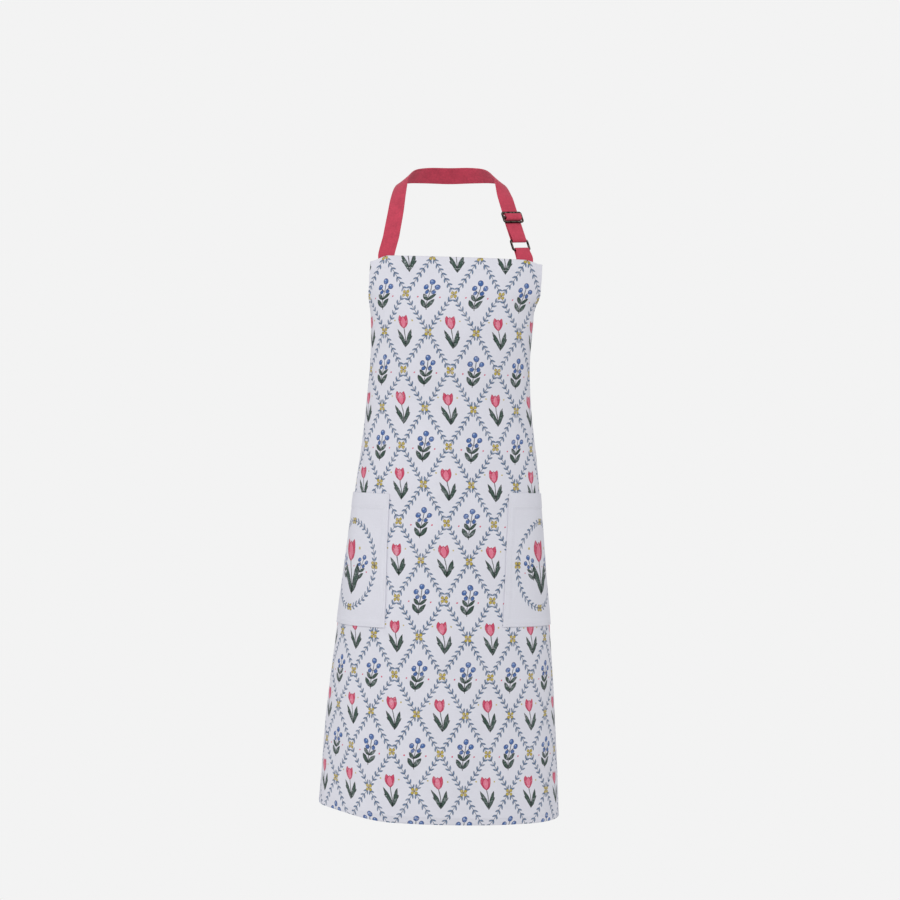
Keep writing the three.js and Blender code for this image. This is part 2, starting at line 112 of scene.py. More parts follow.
# Straps and their metal
STRAP_WIDTH = 27.0
STRAP = 1.5
STRAP_ARC = {-1: -111.0, 1: 108.0}
SEWN_DROPS = (26.0, 12.0, 2.0, -4.0)
SEWN_GAP = 1.3
GAP = 0.3
WIRE = 3.4
WIRE_SIDES = 20
WIRE_CORNER = WIRE * 0.8
CORNER_POINTS = 9
BAR_RINGS = 7
SLIDER_HALF_WIDTH = (29.4 + WIRE) / 2
SLIDER_BAR_PITCH = 8.4
RING_BAR_PITCH = 17.2
RING_TOP_BAR = 40.0
RING_MIDDLE = RING_TOP_BAR + RING_BAR_PITCH / 2
RING_OUT = -3.65
RING_HALF_WIDTH = (25.6 + WIRE) / 2
RING_STRAP_WIDTH = 24.4
TAB_LEAD = 4.0
TURN_STEPS = 8
TURN_RADIUS = WIRE / 2 + GAP + STRAP / 2
BAND_STEP = 1.3
PLEAT = 1.6
PLEATS = 3

# A strap's pressed edge: distances from the edge, and heights as shares of half the thickness.
EDGE_INSETS = np.array((0.0, 0.25, 0.8, 2.0, 2.6, 3.2))
EDGE_HEIGHTS = np.array((0.0, 0.7, 1.0, 1.0, 0.72, 1.0))

# Waist ties and their knot
TIE_Z = BIB_TOP_Z - 236.0
TIE_DEPTH = HEM_THICKNESS + SEWN_GAP + STRAP / 2
TIE_SEWN = 28.0
TIE_STATIONS = 9
TIE_EASE = 8.0
KNOT_WIDTH = 37.0
KNOT_DEPTH = 13.0
KNOT_HEIGHT = 17.0
KNOT_WALL = 3.6
KNOT_DROP = 28.0
KNOT_POINTS = (120, 40)
KNOT_OUTLINE_POWER = 0.62
KNOT_EDGE_POWER = 0.75
KNOT_WALL_POWER = 0.6
KNOT_PINCH = 0.16
KNOT_SWELL = 0.5
KNOT_SLANT = 1.3
KNOT_SLANT_TURN = 0.4
CREASE = 0.5
CREASE_PACE = 0.95
CREASE_SWEEP = 2.4
CREASE_START = 0.6

# Horizontal sections: height, middle, half width, front, depth before and behind the widest line.
SECTIONS = np.array([
    (-130, 0, 167, -146, 63, 90),
    (-190, -1.5, 141.5, -162, 70, 100),
    (-213, -4.5, 129, -166.5, 74, 104),
    (-240, -3.6, 126.3, -170, 78, 109),
    (-300, -4.2, 124.3, -165, 78, 116),
    (-360, -4.4, 128, -158, 80, 120),
    (-440, -2.8, 136.7, -163, 90, 128),
    (-515, -2.9, 145.6, -172, 101, 138),
    (-600, -2.8, 155.2, -180, 113, 148),
    (-700, -1.9, 166, -187, 125, 160),
    (-850, -1.9, 178.5, -197, 139, 176),
    (-1010, 0, 189, -207, 150, 190),
])
LEVELS = np.arange(-1014.0, -114.0, 1.0)
ARC_STEP = 2.0
ARCS = np.arange(0.0, 420.0, ARC_STEP)
SECTION_POINTS = 361
WAIST_POINTS = 721

# Soft upright folds in the skirt: arc, half width, how far out, and the height each starts at.
FOLDS = (
    (-312, 52, 5, -400),
    (-190, 50, -2, -560),
    (-105, 60, 2, -700),
    (60, 60, -1.5, -720),
    (165, 50, 2, -640),
    (315, 50, 4.5, -420),
)

# Faint unevenness of the hung cotton: waves per metre across and down, height, and phase.
RIPPLES = (
    (7.1, 1.3, 0.45, 0.6),
    (4.3, -2.2, 0.5, 2.1),
    (12.7, 3.9, 0.16, 4.0),
    (17.3, -6.1, 0.1, 1.2),
)
DRAG_ARC = SKIRT_HALF_WIDTH + 12.0
DRAG_HEIGHT = 1.1
DRAG_REACH = 75.0
DRAG_FREE = 30.0
DRAG_LINES = 9.0

# The neck strap's middle line from the bib's left corner to the slider, with its outer face's direction.
NECK_LINE = np.array([
    (-91, -117, -106, -0.28, -0.85, 0.44),
    (-84.5, -100, -68, -0.32, -0.76, 0.56),
    (-80, -81, -37, -0.45, -0.55, 0.7),
    (-74, -57, -14, -0.55, -0.1, 0.83),
    (-60, -31, -4, -0.58, 0.45, 0.68),
    (-35, -9, 0, -0.33, 0.8, 0.5),
    (0, 0.7, 0.3, 0, 0.9, 0.43),
    (35, -9, 0, 0.33, 0.8, 0.5),
    (61, -31, -4, 0.58, 0.45, 0.68),
    (77, -57, -15, 0.56, -0.1, 0.83),
    (86, -80, -42, 0.38, -0.66, 0.65),
])
NECK_STEPS = 4
SLIDER_MIDDLE = np.array((96.8, -100.3, -74.4))
SLIDER_DOWN = np.array((0.266, -0.396, -0.884))
SLIDER_FACE = np.array((0.4, -0.79, 0.464))

# How the strap weaves through the slider and comes back from the ring: along the strap, and out of its face.
WEAVE = (
    (-13, -2.85), (-8.2, -2.85), (-6.1, -2.4), (-5.2, 0.5), (-4.6, 3.1), (-2.6, 4.65),
    (2.6, 4.65), (4.6, 3.1), (5.2, 0.5), (6.1, -2.4), (9.2, -2.85),
)
WAY_BACK = ((12, -4.9), (8, -4.7), (4.4, -3.7))

# Each waist tie's end: distance from the middle, drop, width, thickness and turn.
TIE_END = np.array([
    (25, 1, 23, 2, 0),
    (13.5, 8, 15, 2.4, 0),
    (7.5, 20, 12.5, 2.6, 0),
    (7.5, 38, 12.5, 2.6, 0),
    (11, 62, 20, 2, 6),
    (16, 105, 27, 1.5, 14),
    (20, 240, 27, 1.5, 4),
    (27, 390, 27, 1.5, -12),
    (30, 520, 27, 1.5, -4),
])
TIE_END_STEPS = 3

# Thread; a stitch is described by places along it, thickness as a share, and lift off the cloth.
STITCH_PITCH = 3.3
STITCH_LENGTH = 2.6
STITCH_LEAD = 0.4
STITCH_FORM = np.array([
    (0, 0.3, -0.22), (0.14, 0.85, 0.08), (0.5, 1, 0.16), (0.86, 0.85, 0.08), (1, 0.3, -0.22),
])
THREAD_RADIUS = 0.27
THREAD_SIDES = 6
THREAD_SINK = 0.25
ROW_MARGIN = 1.0
SIDE_ROW_POINTS = 420
TOP_ROW_POINTS = 160
FOOT_ROW_POINTS = 320
POCKET_SIDE_POINTS = 120
POCKET_CROSS_POINTS = 90
BOX_POINTS = 24
BOX_INSET = 3.6
BOX_START = 3.0
BOX_END = 21.0

# Print: a leafy trellis with a tulip or a berry twig in each diamond
CELL_WIDTH = 74.0
CELL_HEIGHT = 116.0
TRELLIS_LEAVES = 8
TRELLIS_CLEAR = 5.0
SPRIG_SCALE = 1.12
INK_EDGE = 0.5
RIM = 0.8
LEAF_RIM = 0.9
SPOT_RIM = 0.6
PETAL_SHIFT = 0.6

# The trellis: a spot has its place and radius, and a leaf its length and width as shares of the pitch.
CROSSING_SPOTS = (2.8, 2.8, 2.5)
CROSSING_HEART = (0.0, 0.0, 1.4)
GARLAND_STEM = 0.4
GARLAND_LEAN = 38.0
GARLAND_LEAF = (0.9, 0.31)
GARLAND_RIM = 0.55

# The pockets' wreath and posy
WREATH_HALF_WIDTH = 52.0
WREATH_HALF_HEIGHT = 66.0
WREATH_DROP = 8.0
WREATH_BAND = 8.0
WREATH_LEAVES = 42
POSY_DROP = 4.0
POSY_SCALE = 0.52
POSY_TWIG_X = 25.0
POSY_TWIG_LEAN = -16.0

# Unevenness: the print's wander has its grain and reach both ways, noise its grain both ways and strength.
WANDER = ((0.035, 5.0, -4.0), (0.3, 0.9, 0.7))
INK_PATCHES = ((0.11, 0.11, 1.0), (0.4, 0.4, 1.0))
INK_THINNING = (1.2, -1.22)
BLEED = ((0.22, 0.22, 0.3),)
WASH = ((0.02, 0.02, 0.08), (0.9, 0.9, 0.1))
HEATHER = ((0.07, 0.07, 0.4), (0.3, 0.3, 0.4), (1.4, 0.5, 0.24))
COTTON_THREAD = 0.7
STRAP_THREAD = 0.9
THREAD_ACROSS = 0.9
THREAD_ALONG = 0.06
WEFT_OFFSET = 31.0
PRESSED_LINE = STRAP_WIDTH / 2 - 2.6

# Surfaces: a pair is how much a height adds and what it adds to, and a bump has its strength and depth.
COTTON_SHADE = (0.07, 0.84)
COTTON_ROUGHNESS = (0.08, 0.8)
COTTON_BUMP = (0.35, 0.0002)
COTTON_SHEEN = 0.08
CLOTH_SPECULAR = 0.25
BLEED_MEAN = 0.15
STRAP_SHADE = (0.16, 0.32)
STRAP_ROUGHNESS = (0.1, 0.72)
STRAP_BUMP = (0.5, 0.0003)
STRAP_SHEEN = 0.2
STRAP_SHEEN_ROUGHNESS = 0.45
SEAM_EDGE = (-2.4, 1.1)
SEAM_DASH = (2.0, 1.0)
SEAM_SHADE = 0.2
SEAM_HEIGHT = 1.5
THREAD_GRAIN = 2600.0
THREAD_SHADE = (0.3, 0.82)
THREAD_ROUGHNESS = 0.6
METAL_GRAIN = 1400.0
METAL_SHADE = (0.3, 0.85)
METAL_ROUGHNESS = (0.2, 0.2)
METAL_BUMP = (0.12, 0.0001)
# The wire's lighter outward side: partly rubbed wear, partly a painted highlight.
WEAR_HIGHLIGHT_GRAIN = 260.0
WEAR_HIGHLIGHT_DETAIL = 4.0
WEAR_HIGHLIGHT_REACH = 1.6
WEAR_HIGHLIGHT_EDGE = (2.0, -3.0)
WEAR_HIGHLIGHT_SHARE = 0.7
FLOOR_GRAIN = 3.0
FLOOR_SHADE = (0.03, 0.97)
FLOOR_ROUGHNESS = 0.9
FLOOR_GLOW = 0.02

# Colours
GROUND = "E6E5ED"
REVERSE = "DFDDE2"
ROSE_DEEP = "B52A4C"
ROSE = "D24A69"
ROSE_LIGHT = "E57C94"
LEAF_DEEP = "1B2824"
LEAF_GREEN = "3D5349"
SLATE = "6E87A8"
SLATE_DEEP = "3E526B"
BERRY = "4A6CA8"
BERRY_DEEP = "2A4278"
BERRY_LIGHT = "9DB4DA"
MUSTARD = "C6B14C"
MUSTARD_DEEP = "7F6A26"
STRAP_ROSE = "CB465C"
THREAD_WHITE = "ECEBF0"
THREAD_ROSE = "D9667C"
GUNMETAL = "1E1715"
# Lighter metal on the wire's outward side: rubbed wear and a painted highlight.
WORN_HIGHLIGHT_METAL = "A8958A"
FLOOR_PALE = "EFEFEF"

# Camera and light, in metres; a soft box has its place, size and power.
CAMERA_PLACE = (0.0, -3.958, -0.435)
CAMERA_LENS = 99.6
BACKDROP = 0.896
ROOM_TINT = (0.95, 0.97, 1.0, 1.0)
ROOM_MIDDLE = 0.4
ROOM_RISE = 0.14
FLOOR_Z = -1.6
FLOOR_RADIUS = 2.4
FLOOR_FADE_FROM = 1.2
FLOOR_POINTS = 96
LIGHT_AIM = np.array((0.0, -0.1, -0.5))
SOFT_BOXES = {
    "front_light": ((0.0, -2.7, 1.2), 1.6, 31.8),
    "left_light": ((-2.4, -0.9, -0.2), 2.0, 17.5),
    "right_light": ((2.4, -1.2, -0.2), 2.0, 12.0),
    "back_light": ((0.6, 2.6, 0.5), 2.0, 19.0),
}


def smooth(t):
    """An eased step from 0 to 1."""
    k = np.clip(t, 0.0, 1.0)
    return k * k * (3.0 - 2.0 * k)


def mix(a, b, t):
    """A value between two others."""
    return a + (b - a) * t


def unit(v):
    """The directions of an array of vectors."""
    return v / np.linalg.norm(v, axis=-1, keepdims=True)


def power(values, exponent):
    """Values raised to a power with their signs kept."""
    return np.sign(values) * np.abs(values) ** exponent


def run_along(points):
    """Distances along a line of points from its start."""
    steps = np.linalg.norm(np.diff(points, axis=0), axis=1)
    return np.concatenate([[0.0], np.cumsum(steps)])


def placed_along(places, along, values):
    """Rows of a table found by their distance along a line."""
    return np.stack([np.interp(places, along, column) for column in values.T], axis=-1)


def through(table, at):
    """A smooth curve through a table's rows, by its first column."""
    table = table[np.argsort(table[:, 0])]
    keys, values = table[:, 0], table[:, 1:]
    rows = np.arange(len(keys))
    before = np.maximum(rows - 1, 0)
    after = np.minimum(rows + 1, len(keys) - 1)
    slopes = (values[after] - values[before]) / (keys[after] - keys[before])[:, None]
    i = np.clip(np.searchsorted(keys, at) - 1, 0, len(keys) - 2)
    span = (keys[i + 1] - keys[i])[..., None]
    t = (at - keys[i])[..., None] / span
    rise = 3 * t**2 - 2 * t**3
    ends = (1 - rise) * values[i] + rise * values[i + 1]
    return ends + span * ((t**3 - 2 * t**2 + t) * slopes[i] + (t**3 - t**2) * slopes[i + 1])


def by_rows(table, steps):
    """A table filled in smoothly between its rows."""
    last = len(table) - 1
    numbered = np.column_stack([np.arange(last + 1), table])
    return through(numbered, np.linspace(0, last, last * steps + 1))


def half_section(row, count):
    """Half a section's points, from the front centre round to the back."""
    _, half_width, front_y, front_depth, back_depth = row
    turns = np.linspace(0.0, math.pi, count)
    depth = np.where(np.cos(turns) > 0.0, front_depth, back_depth)
    return np.stack([half_width * np.sin(turns), front_y + front_depth - depth * np.cos(turns)], axis=1)


def section_table():
    """Half sections' points and outward directions, by height and arc length."""
    table = np.empty((len(LEVELS), len(ARCS), 4))
    for level, row in enumerate(through(SECTIONS, LEVELS)):
        line = half_section(row, SECTION_POINTS)
        run = unit(np.gradient(line, axis=0))
        values = np.column_stack([line, run[:, 1], -run[:, 0]])
        table[level] = placed_along(ARCS, run_along(line), values)
    return table


SECTION_TABLE = section_table()


def sampled(reach, z):
    """The section table at any arc length and height."""
    level = np.clip(z - LEVELS[0], 0.0, len(LEVELS) - 1.001)
    place = np.clip(reach / ARC_STEP, 0.0, len(ARCS) - 1.001)
    i = level.astype(int)
    j = place.astype(int)
    s = (level - i)[..., None]
    t = (place - j)[..., None]
    low = mix(SECTION_TABLE[i, j], SECTION_TABLE[i, j + 1], t)
    high = mix(SECTION_TABLE[i + 1, j], SECTION_TABLE[i + 1, j + 1], t)
    return mix(low, high, s)


def fold_at(arc, z):
    """How far the skirt's folds stand out."""
    bottom = BIB_TOP_Z - CLOTH_LENGTH
    out = np.zeros_like(arc)
    for middle, half_width, height, start in FOLDS:
        reach = np.minimum(np.abs(arc - middle) / half_width, 1.0)
        out += height * smooth((start - z) / (start - bottom)) * (1.0 - reach**2) ** 2
    return out


def ripple_at(arc, z):
    """Faint waves all over, and drag lines from where the waist ties pull."""
    out = np.zeros_like(arc)
    for across, down, height, phase in RIPPLES:
        out += height * np.sin(FULL_TURN * MM * (across * arc + down * z) + phase)
    side = DRAG_ARC - np.abs(arc)
    away = np.hypot(side, z - TIE_Z)
    fade = np.exp(-away / DRAG_REACH) * smooth(away / DRAG_FREE - 1.0)
    return out + DRAG_HEIGHT * fade * np.sin(DRAG_LINES * np.arctan2(z - TIE_Z, side))


def leaned(points):
    """Points turned with the apron, which is worn slightly askew."""
    x = points[..., 0]
    z = points[..., 2] - LEAN_PIVOT_Z
    turned_x = x * math.cos(LEAN) + z * math.sin(LEAN)
    turned_z = z * math.cos(LEAN) - x * math.sin(LEAN) + LEAN_PIVOT_Z
    return np.stack([turned_x, points[..., 1], turned_z], axis=-1)


def outer_face(arc, z, rippled=True):
    """Points of the cloth's outer face, by arc length from the middle and height."""
    x, y, out_x, out_y = np.moveaxis(sampled(np.abs(arc), z), -1, 0)
    out = fold_at(arc, z)
    if rippled:
        out = out + ripple_at(arc, z)
    side = np.where(arc < 0.0, -1.0, 1.0)
    middle = through(SECTIONS, z)[..., 0]
    return leaned(np.stack([middle + side * (x + out * out_x), y + out * out_y, z], axis=-1))


def outward(arc, z, rippled=True):
    """The directions that the cloth's outer face looks."""
    reach = 2.0
    along = outer_face(arc + reach, z, rippled) - outer_face(arc - reach, z, rippled)
    down = outer_face(arc, z - reach, rippled) - outer_face(arc, z + reach, rippled)
    return unit(np.cross(down, along))


def under(arc, z, depth, rippled=True):
    """Points at a depth under the cloth's outer face."""
    return outer_face(arc, z, rippled) - outward(arc, z, rippled) * np.asarray(depth)[..., None]


def half_width_at(drop):
    """Half the panel's cut width: the armholes, then straight sides."""
    share = np.minimum(1.0, drop / ARMHOLE_DROP)
    return mix(BIB_HALF_WIDTH, SKIRT_HALF_WIDTH, share**ARMHOLE_POWER)


def height_at(arc, drop):
    """A place's height: the bib's free corners droop and the foot's left side rides up."""
    outer = smooth((np.abs(arc) - DROOP_FROM_ARC) / (BIB_HALF_WIDTH - DROOP_FROM_ARC))
    droop = np.where(arc < 0.0, DROOP[-1], DROOP[1]) * outer * (1.0 - smooth(drop / DROOP_OVER_DROP))
    low = smooth((drop - LIFT_FROM_DROP) / (CLOTH_LENGTH - LIFT_FROM_DROP))
    return BIB_TOP_Z - drop - droop + FOOT_LIFT * low * smooth((LIFT_FROM_ARC - arc) / LIFT_OVER_ARC)


def lines_between(start, end, count, from_start, from_end):
    """Even lines from start to end, with close lines near both."""
    first = start + np.array(from_start)
    last = end - np.array(from_end)[::-1]
    return np.concatenate([first, np.linspace(first[-1], last[0], count + 2)[1:-1], last])


def linked(name, data):
    """A new object in the scene."""
    thing = bpy.data.objects.new(name, data)
    bpy.context.scene.collection.objects.link(thing)
    return thing


def meshed(name, points, faces, materials):
    """A smooth mesh object from points in metres."""
    mesh = bpy.data.meshes.new(name)
    mesh.from_pydata(points.tolist(), [], faces)
    mesh.shade_smooth()
    for material in materials:
        mesh.materials.append(material)
    return linked(name, mesh)


def dressed(name, points, faces, materials, replaced=()):
    """A piece that rides on the root."""
    piece = meshed(name, points * MM, faces, materials)
    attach(piece, "root")
    if replaced:
        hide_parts(*replaced)
    return piece


def add_uv(piece, name, corners):
    """A UV map from one pair of numbers for each face corner."""
    layer = piece.data.uv_layers.new(name=name)
    layer.data.foreach_set("uv", np.asarray(corners, dtype=np.float32).ravel())


def corners_of(faces):
    """The points at all face corners, in order."""
    return np.concatenate([np.ravel(face) for face in faces])


def joined(*parts):
    """Several sets of points and faces as one."""
    points, faces = [], []
    for some_points, some_faces in parts:
        first = sum(len(p) for p in points)
        faces.extend([[first + i for i in face] for face in some_faces])
        points.append(some_points)
    return np.concatenate(points), faces


def indexed(*shape):
    """Numbers of the points of a grid."""
    return np.arange(math.prod(shape)).reshape(shape)


def closed(index):
    """A grid of point numbers that closes on itself across."""
    return np.concatenate([index, index[..., :1]], axis=-1)


def quads(index):
    """Quads between the neighbours in a grid of point numbers."""
    corners = [index[..., :-1, :-1], index[..., 1:, :-1], index[..., 1:, 1:], index[..., :-1, 1:]]
    return np.stack(corners, axis=-1).reshape(-1, 4)


def ring_faces(rows, columns):
    """Quads of a grid that closes on itself both ways."""
    return quads(closed(closed(indexed(rows, columns)).T).T)


def tube_faces(*shape):
    """Faces of tubes, by rings of points, with their ends closed."""
    index = indexed(*shape)
    ends = np.concatenate([index[..., 0, :], index[..., -1, ::-1]]).reshape(-1, shape[-1])
    return [*quads(closed(index)).tolist(), *ends.tolist()]


def edge_loop(rows, columns):
    """The points along a grid's edge, with their rows and columns."""
    index = indexed(rows, columns)
    edge = np.concatenate([index[0], index[1:, -1], index[-1, -2::-1], index[-2:0:-1, 0]])
    return edge, *np.divmod(edge, columns)


def wall_points(outer, inner):
    """Points of a wall's two sides and of its rim's middle, which stands out."""
    rows, columns = outer.shape[:2]
    edge, row, column = edge_loop(rows, columns)
    inside = np.clip(row, 1, rows - 2) * columns + np.clip(column, 1, columns - 2)
    fronts, backs = outer.reshape(-1, 3), inner.reshape(-1, 3)
    thick = np.linalg.norm(fronts[edge] - backs[edge], axis=1)[:, None]
    bulge = unit(fronts[edge] - fronts[inside]) * thick * RIM_BULGE
    return np.concatenate([fronts, backs, (fronts[edge] + backs[edge]) / 2 + bulge])


def wall_faces(rows, columns):
    """Quads of a wall's outer side, inner side and rim."""
    count = rows * columns
    sides = quads(indexed(rows, columns))
    edge, _, _ = edge_loop(rows, columns)
    rim = np.concatenate([edge + count, 2 * count + np.arange(len(edge)), edge])
    return np.concatenate([sides, sides[:, ::-1] + count, rim[quads(closed(indexed(3, len(edge))))]])


def fitted(places, low, high):
    """Flat places fitted into a box of the bake map."""
    return low + (places - places.min(axis=0)) / np.ptp(places, axis=0) * (high - low)


def map_wall(piece, flat, inner_flat):
    """A wall's flat map, with the inner side's own corners, and its bake map."""
    rows, columns = flat.shape[:2]
    sides = quads(indexed(rows, columns))
    edge, row, column = edge_loop(rows, columns)
    rim = quads(closed(indexed(3, len(edge))))
    places = flat.reshape(-1, 2)
    add_uv(piece, "Flat", np.concatenate([places[sides], inner_flat, np.tile(places[edge], (3, 1))[rim]]))
    front, back = (fitted(places, *box) for box in (BAKE_FRONT, BAKE_BACK))
    out = [1.0 * (column == columns - 1) - (column == 0), 1.0 * (row == 0) - (row == rows - 1)]
    step = BAKE_RIM * np.stack(out, axis=1)
    margin = np.concatenate([front[edge] + share * step for share in (2, 1, 0)])
    add_uv(piece, "OFBake", np.concatenate([front[sides], back[sides[:, ::-1]], margin[rim]]))


def wall_piece(name, outer, inner, flat, inner_flat, inner_material, materials, piece_slot, node):
    """A sheet of cloth with two sides and a rounded rim."""
    faces = wall_faces(*outer.shape[:2])
    piece = dressed(name, wall_points(outer, inner), faces.tolist(), materials, [node])
    map_wall(piece, flat, inner_flat)
    slots = np.zeros(len(faces), dtype=np.int32)
    slots[len(inner_flat):2 * len(inner_flat)] = inner_material
    piece.data.polygons.foreach_set("material_index", slots)
    return piece


def in_hem(distance, depth):
    """1 inside a turned hem, easing to 0 at its inner edge."""
    return 1.0 - smooth((distance - depth) / HEM_EASE)


def stitched(distance, depth):
    """1 along a line of stitches, fading to both sides."""
    return np.exp(-(((distance - depth) / GROOVE_SPREAD) ** 2))


def panel_places():
    """Arc lengths, drops and half widths over the panel's grid."""
    drops = lines_between(0.0, CLOTH_LENGTH, PANEL_ROWS, TOP_LINES, SIDE_LINES)
    halves = half_width_at(drops)
    arc = np.array([lines_between(-half, half, PANEL_COLUMNS, SIDE_LINES, SIDE_LINES) for half in halves])
    return arc, np.broadcast_to(drops[:, None], arc.shape), np.broadcast_to(halves[:, None], arc.shape)


def hems(arc, drop, half):
    """Distances from the panel's sides, top and foot, with each hem's depth."""
    return (half - np.abs(arc), SIDE_HEM), (drop, TOP_HEM), (CLOTH_LENGTH - drop, SIDE_HEM)


def pucker(along, away, pace, wander, middle, spread):
    """Small ridges along a hem, strongest at one distance from its edge."""
    ridges = np.sin(along / pace + PUCKER_WANDER * np.sin(along / wander))
    return ridges * np.exp(-(((away - middle) / spread) ** 2))


def panel_relief(arc, drop, half):
    """Stitch grooves and small puckers along the hems."""
    (side, _), (top, _), (foot, _) = edges = hems(arc, drop, half)
    groove = np.max([stitched(away, depth - STITCH_INSET) for away, depth in edges], axis=0)
    puckers = pucker(arc, foot, *FOOT_PUCKER) + pucker(arc, top, *TOP_PUCKER)
    return PUCKER_HEIGHT * (pucker(drop, side, *SIDE_PUCKER) + puckers) - GROOVE_DEPTH * groove


def hem_roll(arc, drop):
    """How far the top hem rolls outward, and the foot's hem inward as a negative number."""
    top = np.sin(math.pi * np.minimum(drop / TOP_ROLL_DROP, 1.0)) ** 2
    foot = np.maximum(0.0, 1.0 - (CLOTH_LENGTH - drop) / SIDE_HEM)
    front = 1.0 - smooth((np.abs(arc) - CURL_TO_ARC) / CURL_FADE)
    return TOP_ROLL * top - FOOT_CURL * foot * front


def folded_print(arc, drop, half):
    """The inner side's flat corners, with the hems' face turned over, and its materials."""
    corners = quads(indexed(*arc.shape))[:, ::-1]
    arcs, drops, halves = (values.reshape(-1)[corners] for values in (arc, drop, half))
    edges = hems(arcs, drops, halves)
    side, top, foot = (away.mean(axis=1, keepdims=True) < depth for away, depth in edges)
    u = np.where(side, np.sign(arcs) * (2.0 * halves - np.abs(arcs)), arcs)
    v = np.where(top, drops, np.where(foot, drops - 2.0 * CLOTH_LENGTH, -drops))
    reverse = np.where(side | top | foot, 0, 1)[:, 0]
    return np.stack([u, v], axis=-1), reverse


def panel_cloth(materials):
    """The bib and skirt in one piece, with hems turned to the inside."""
    arc, drop, half = panel_places()
    z = height_at(arc, drop)
    hem = np.max([in_hem(away, depth) for away, depth in hems(arc, drop, half)], axis=0)
    relief = panel_relief(arc, drop, half)
    roll = hem_roll(arc, drop)
    outer = under(arc, z, -relief - roll)
    inner = under(arc, z, mix(CLOTH, HEM_THICKNESS, hem) + INNER_RELIEF * relief - roll)
    flat = np.stack([arc, -drop], axis=-1)
    inside = folded_print(arc, drop, half)
    return wall_piece("panel_cloth", outer, inner, flat, *inside, materials, "printed_cotton", "apron_panel")


def pocket_place(side, x, down):
    """Arc lengths and heights on the panel behind places on a pocket."""
    middle = side * (POCKET_INNER_ARC + POCKET_WIDTH / 2)
    slant = POCKET_SLANT[side] * (1.0 - down / POCKET_HEIGHT)
    return middle + slant + x, BIB_TOP_Z - POCKET_TOP_DROP[side] - down


def pocket_lift(x, down):
    """How far a pocket's inner face stands off the panel."""
    across = 2.0 * x / POCKET_WIDTH
    return GAP + POCKET_BULGE * (1.0 - across**4) * (1.0 - (down / POCKET_HEIGHT) ** 3)


def pocket_cloth(side, materials):
    """A patch pocket with a deep hem at its mouth and narrow turnings."""
    half = POCKET_WIDTH / 2
    place = lines_between(-half, half, POCKET_COLUMNS, POCKET_LINES, POCKET_LINES)
    drop = lines_between(0.0, POCKET_HEIGHT, POCKET_ROWS, MOUTH_LINES, POCKET_LINES)
    x, down = np.meshgrid(place, drop)
    edge = np.minimum(half - np.abs(x), POCKET_HEIGHT - down)
    folded = np.maximum(in_hem(edge, POCKET_TURNING), in_hem(down, POCKET_HEM))
    groove = np.maximum(stitched(edge, POCKET_STITCH_INSET), stitched(down, POCKET_HEM - STITCH_INSET))
    thick = mix(CLOTH, POCKET_HEM_THICKNESS, folded) - GROOVE_DEPTH * groove
    lift = pocket_lift(x, down)
    arc, z = pocket_place(side, x, down)
    outer = under(arc, z, -lift - thick)
    inner = under(arc, z, -lift)
    flat = np.stack([x, POCKET_HEIGHT / 2 - down], axis=-1)
    inner_flat = flat.reshape(-1, 2)[quads(indexed(*x.shape))[:, ::-1]]
    node = f"pocket_{SIDE_NAMES[side]}"
    return wall_piece(f"{node}_cloth", outer, inner, flat, inner_flat, 1, materials, "plain_cotton", node)


def band_profile(width):
    """A strap's outline: place across, and height as a share of half the thickness."""
    edge = EDGE_INSETS - width / 2
    across = np.concatenate([edge, (-width / 6, 0.0, width / 6), -edge[::-1]])
    height = np.concatenate([EDGE_HEIGHTS, (1.0, 1.0, 1.0), EDGE_HEIGHTS[::-1]])
    return np.concatenate([across, across[-2:0:-1]]), np.concatenate([height, -height[-2:0:-1]])


def even_stations(stations):
    """A strap's stations at even steps along it."""
    along = run_along(stations[:, :3])
    count = int(along[-1] / BAND_STEP)
    return through(np.column_stack([along, stations]), np.linspace(0.0, along[-1], count))


def band_frame(rows):
    """Middles, faces, directions across and distances along a strap."""
    middle = rows[:, :3]
    along = unit(np.gradient(middle, axis=0))
    face = unit(rows[:, 3:6] - along * np.sum(rows[:, 3:6] * along, axis=1, keepdims=True))
    return middle, face, unit(np.cross(face, along)), run_along(middle)


def band_piece(name, rows, material, node):
    """A flat strap with rounded edges along its stations."""
    middle, face, across, run = band_frame(rows)
    points, flat = [], []
    for i, (width, thick) in enumerate(rows[:, 6:]):
        x, height = band_profile(width)
        gather = 1.0 - min(1.0, width / RING_STRAP_WIDTH)
        out = height * thick / 2 + PLEAT * gather * np.cos(FULL_TURN * PLEATS * x / width)
        points.append(middle[i] + x[:, None] * across[i] + out[:, None] * face[i])
        flat.append(np.stack([x * STRAP_WIDTH / width, np.full(len(x), run[i])], axis=1))
    faces = tube_faces(len(rows), len(points[0]))
    piece = dressed(name, np.concatenate(points), faces, [material], [node])
    add_uv(piece, "Flat", np.concatenate(flat)[corners_of(faces)])
    return piece


def stations_of(middle, face, width, thick=STRAP):
    """Strap stations as rows of point, face, width and thickness."""
    sizes = [np.broadcast_to(value, len(middle)) for value in (width, thick)]
    return np.column_stack([middle, face, *sizes])


def stations_under(arc, z, depth):
    """Stations of a strap that lies along the inside of the cloth."""
    middle = under(arc, z, np.full_like(arc, depth), rippled=False)
    return stations_of(middle, outward(arc, z, rippled=False), STRAP_WIDTH)


def sewn_stations(side, layer):
    """A strap sewn behind the bib's top hem, from its hidden end up."""
    z = BIB_TOP_Z - np.array(SEWN_DROPS)
    depth = HEM_THICKNESS + SEWN_GAP + STRAP / 2 + layer * (STRAP + GAP)
    return stations_under(np.full_like(z, STRAP_ARC[side]), z, depth)


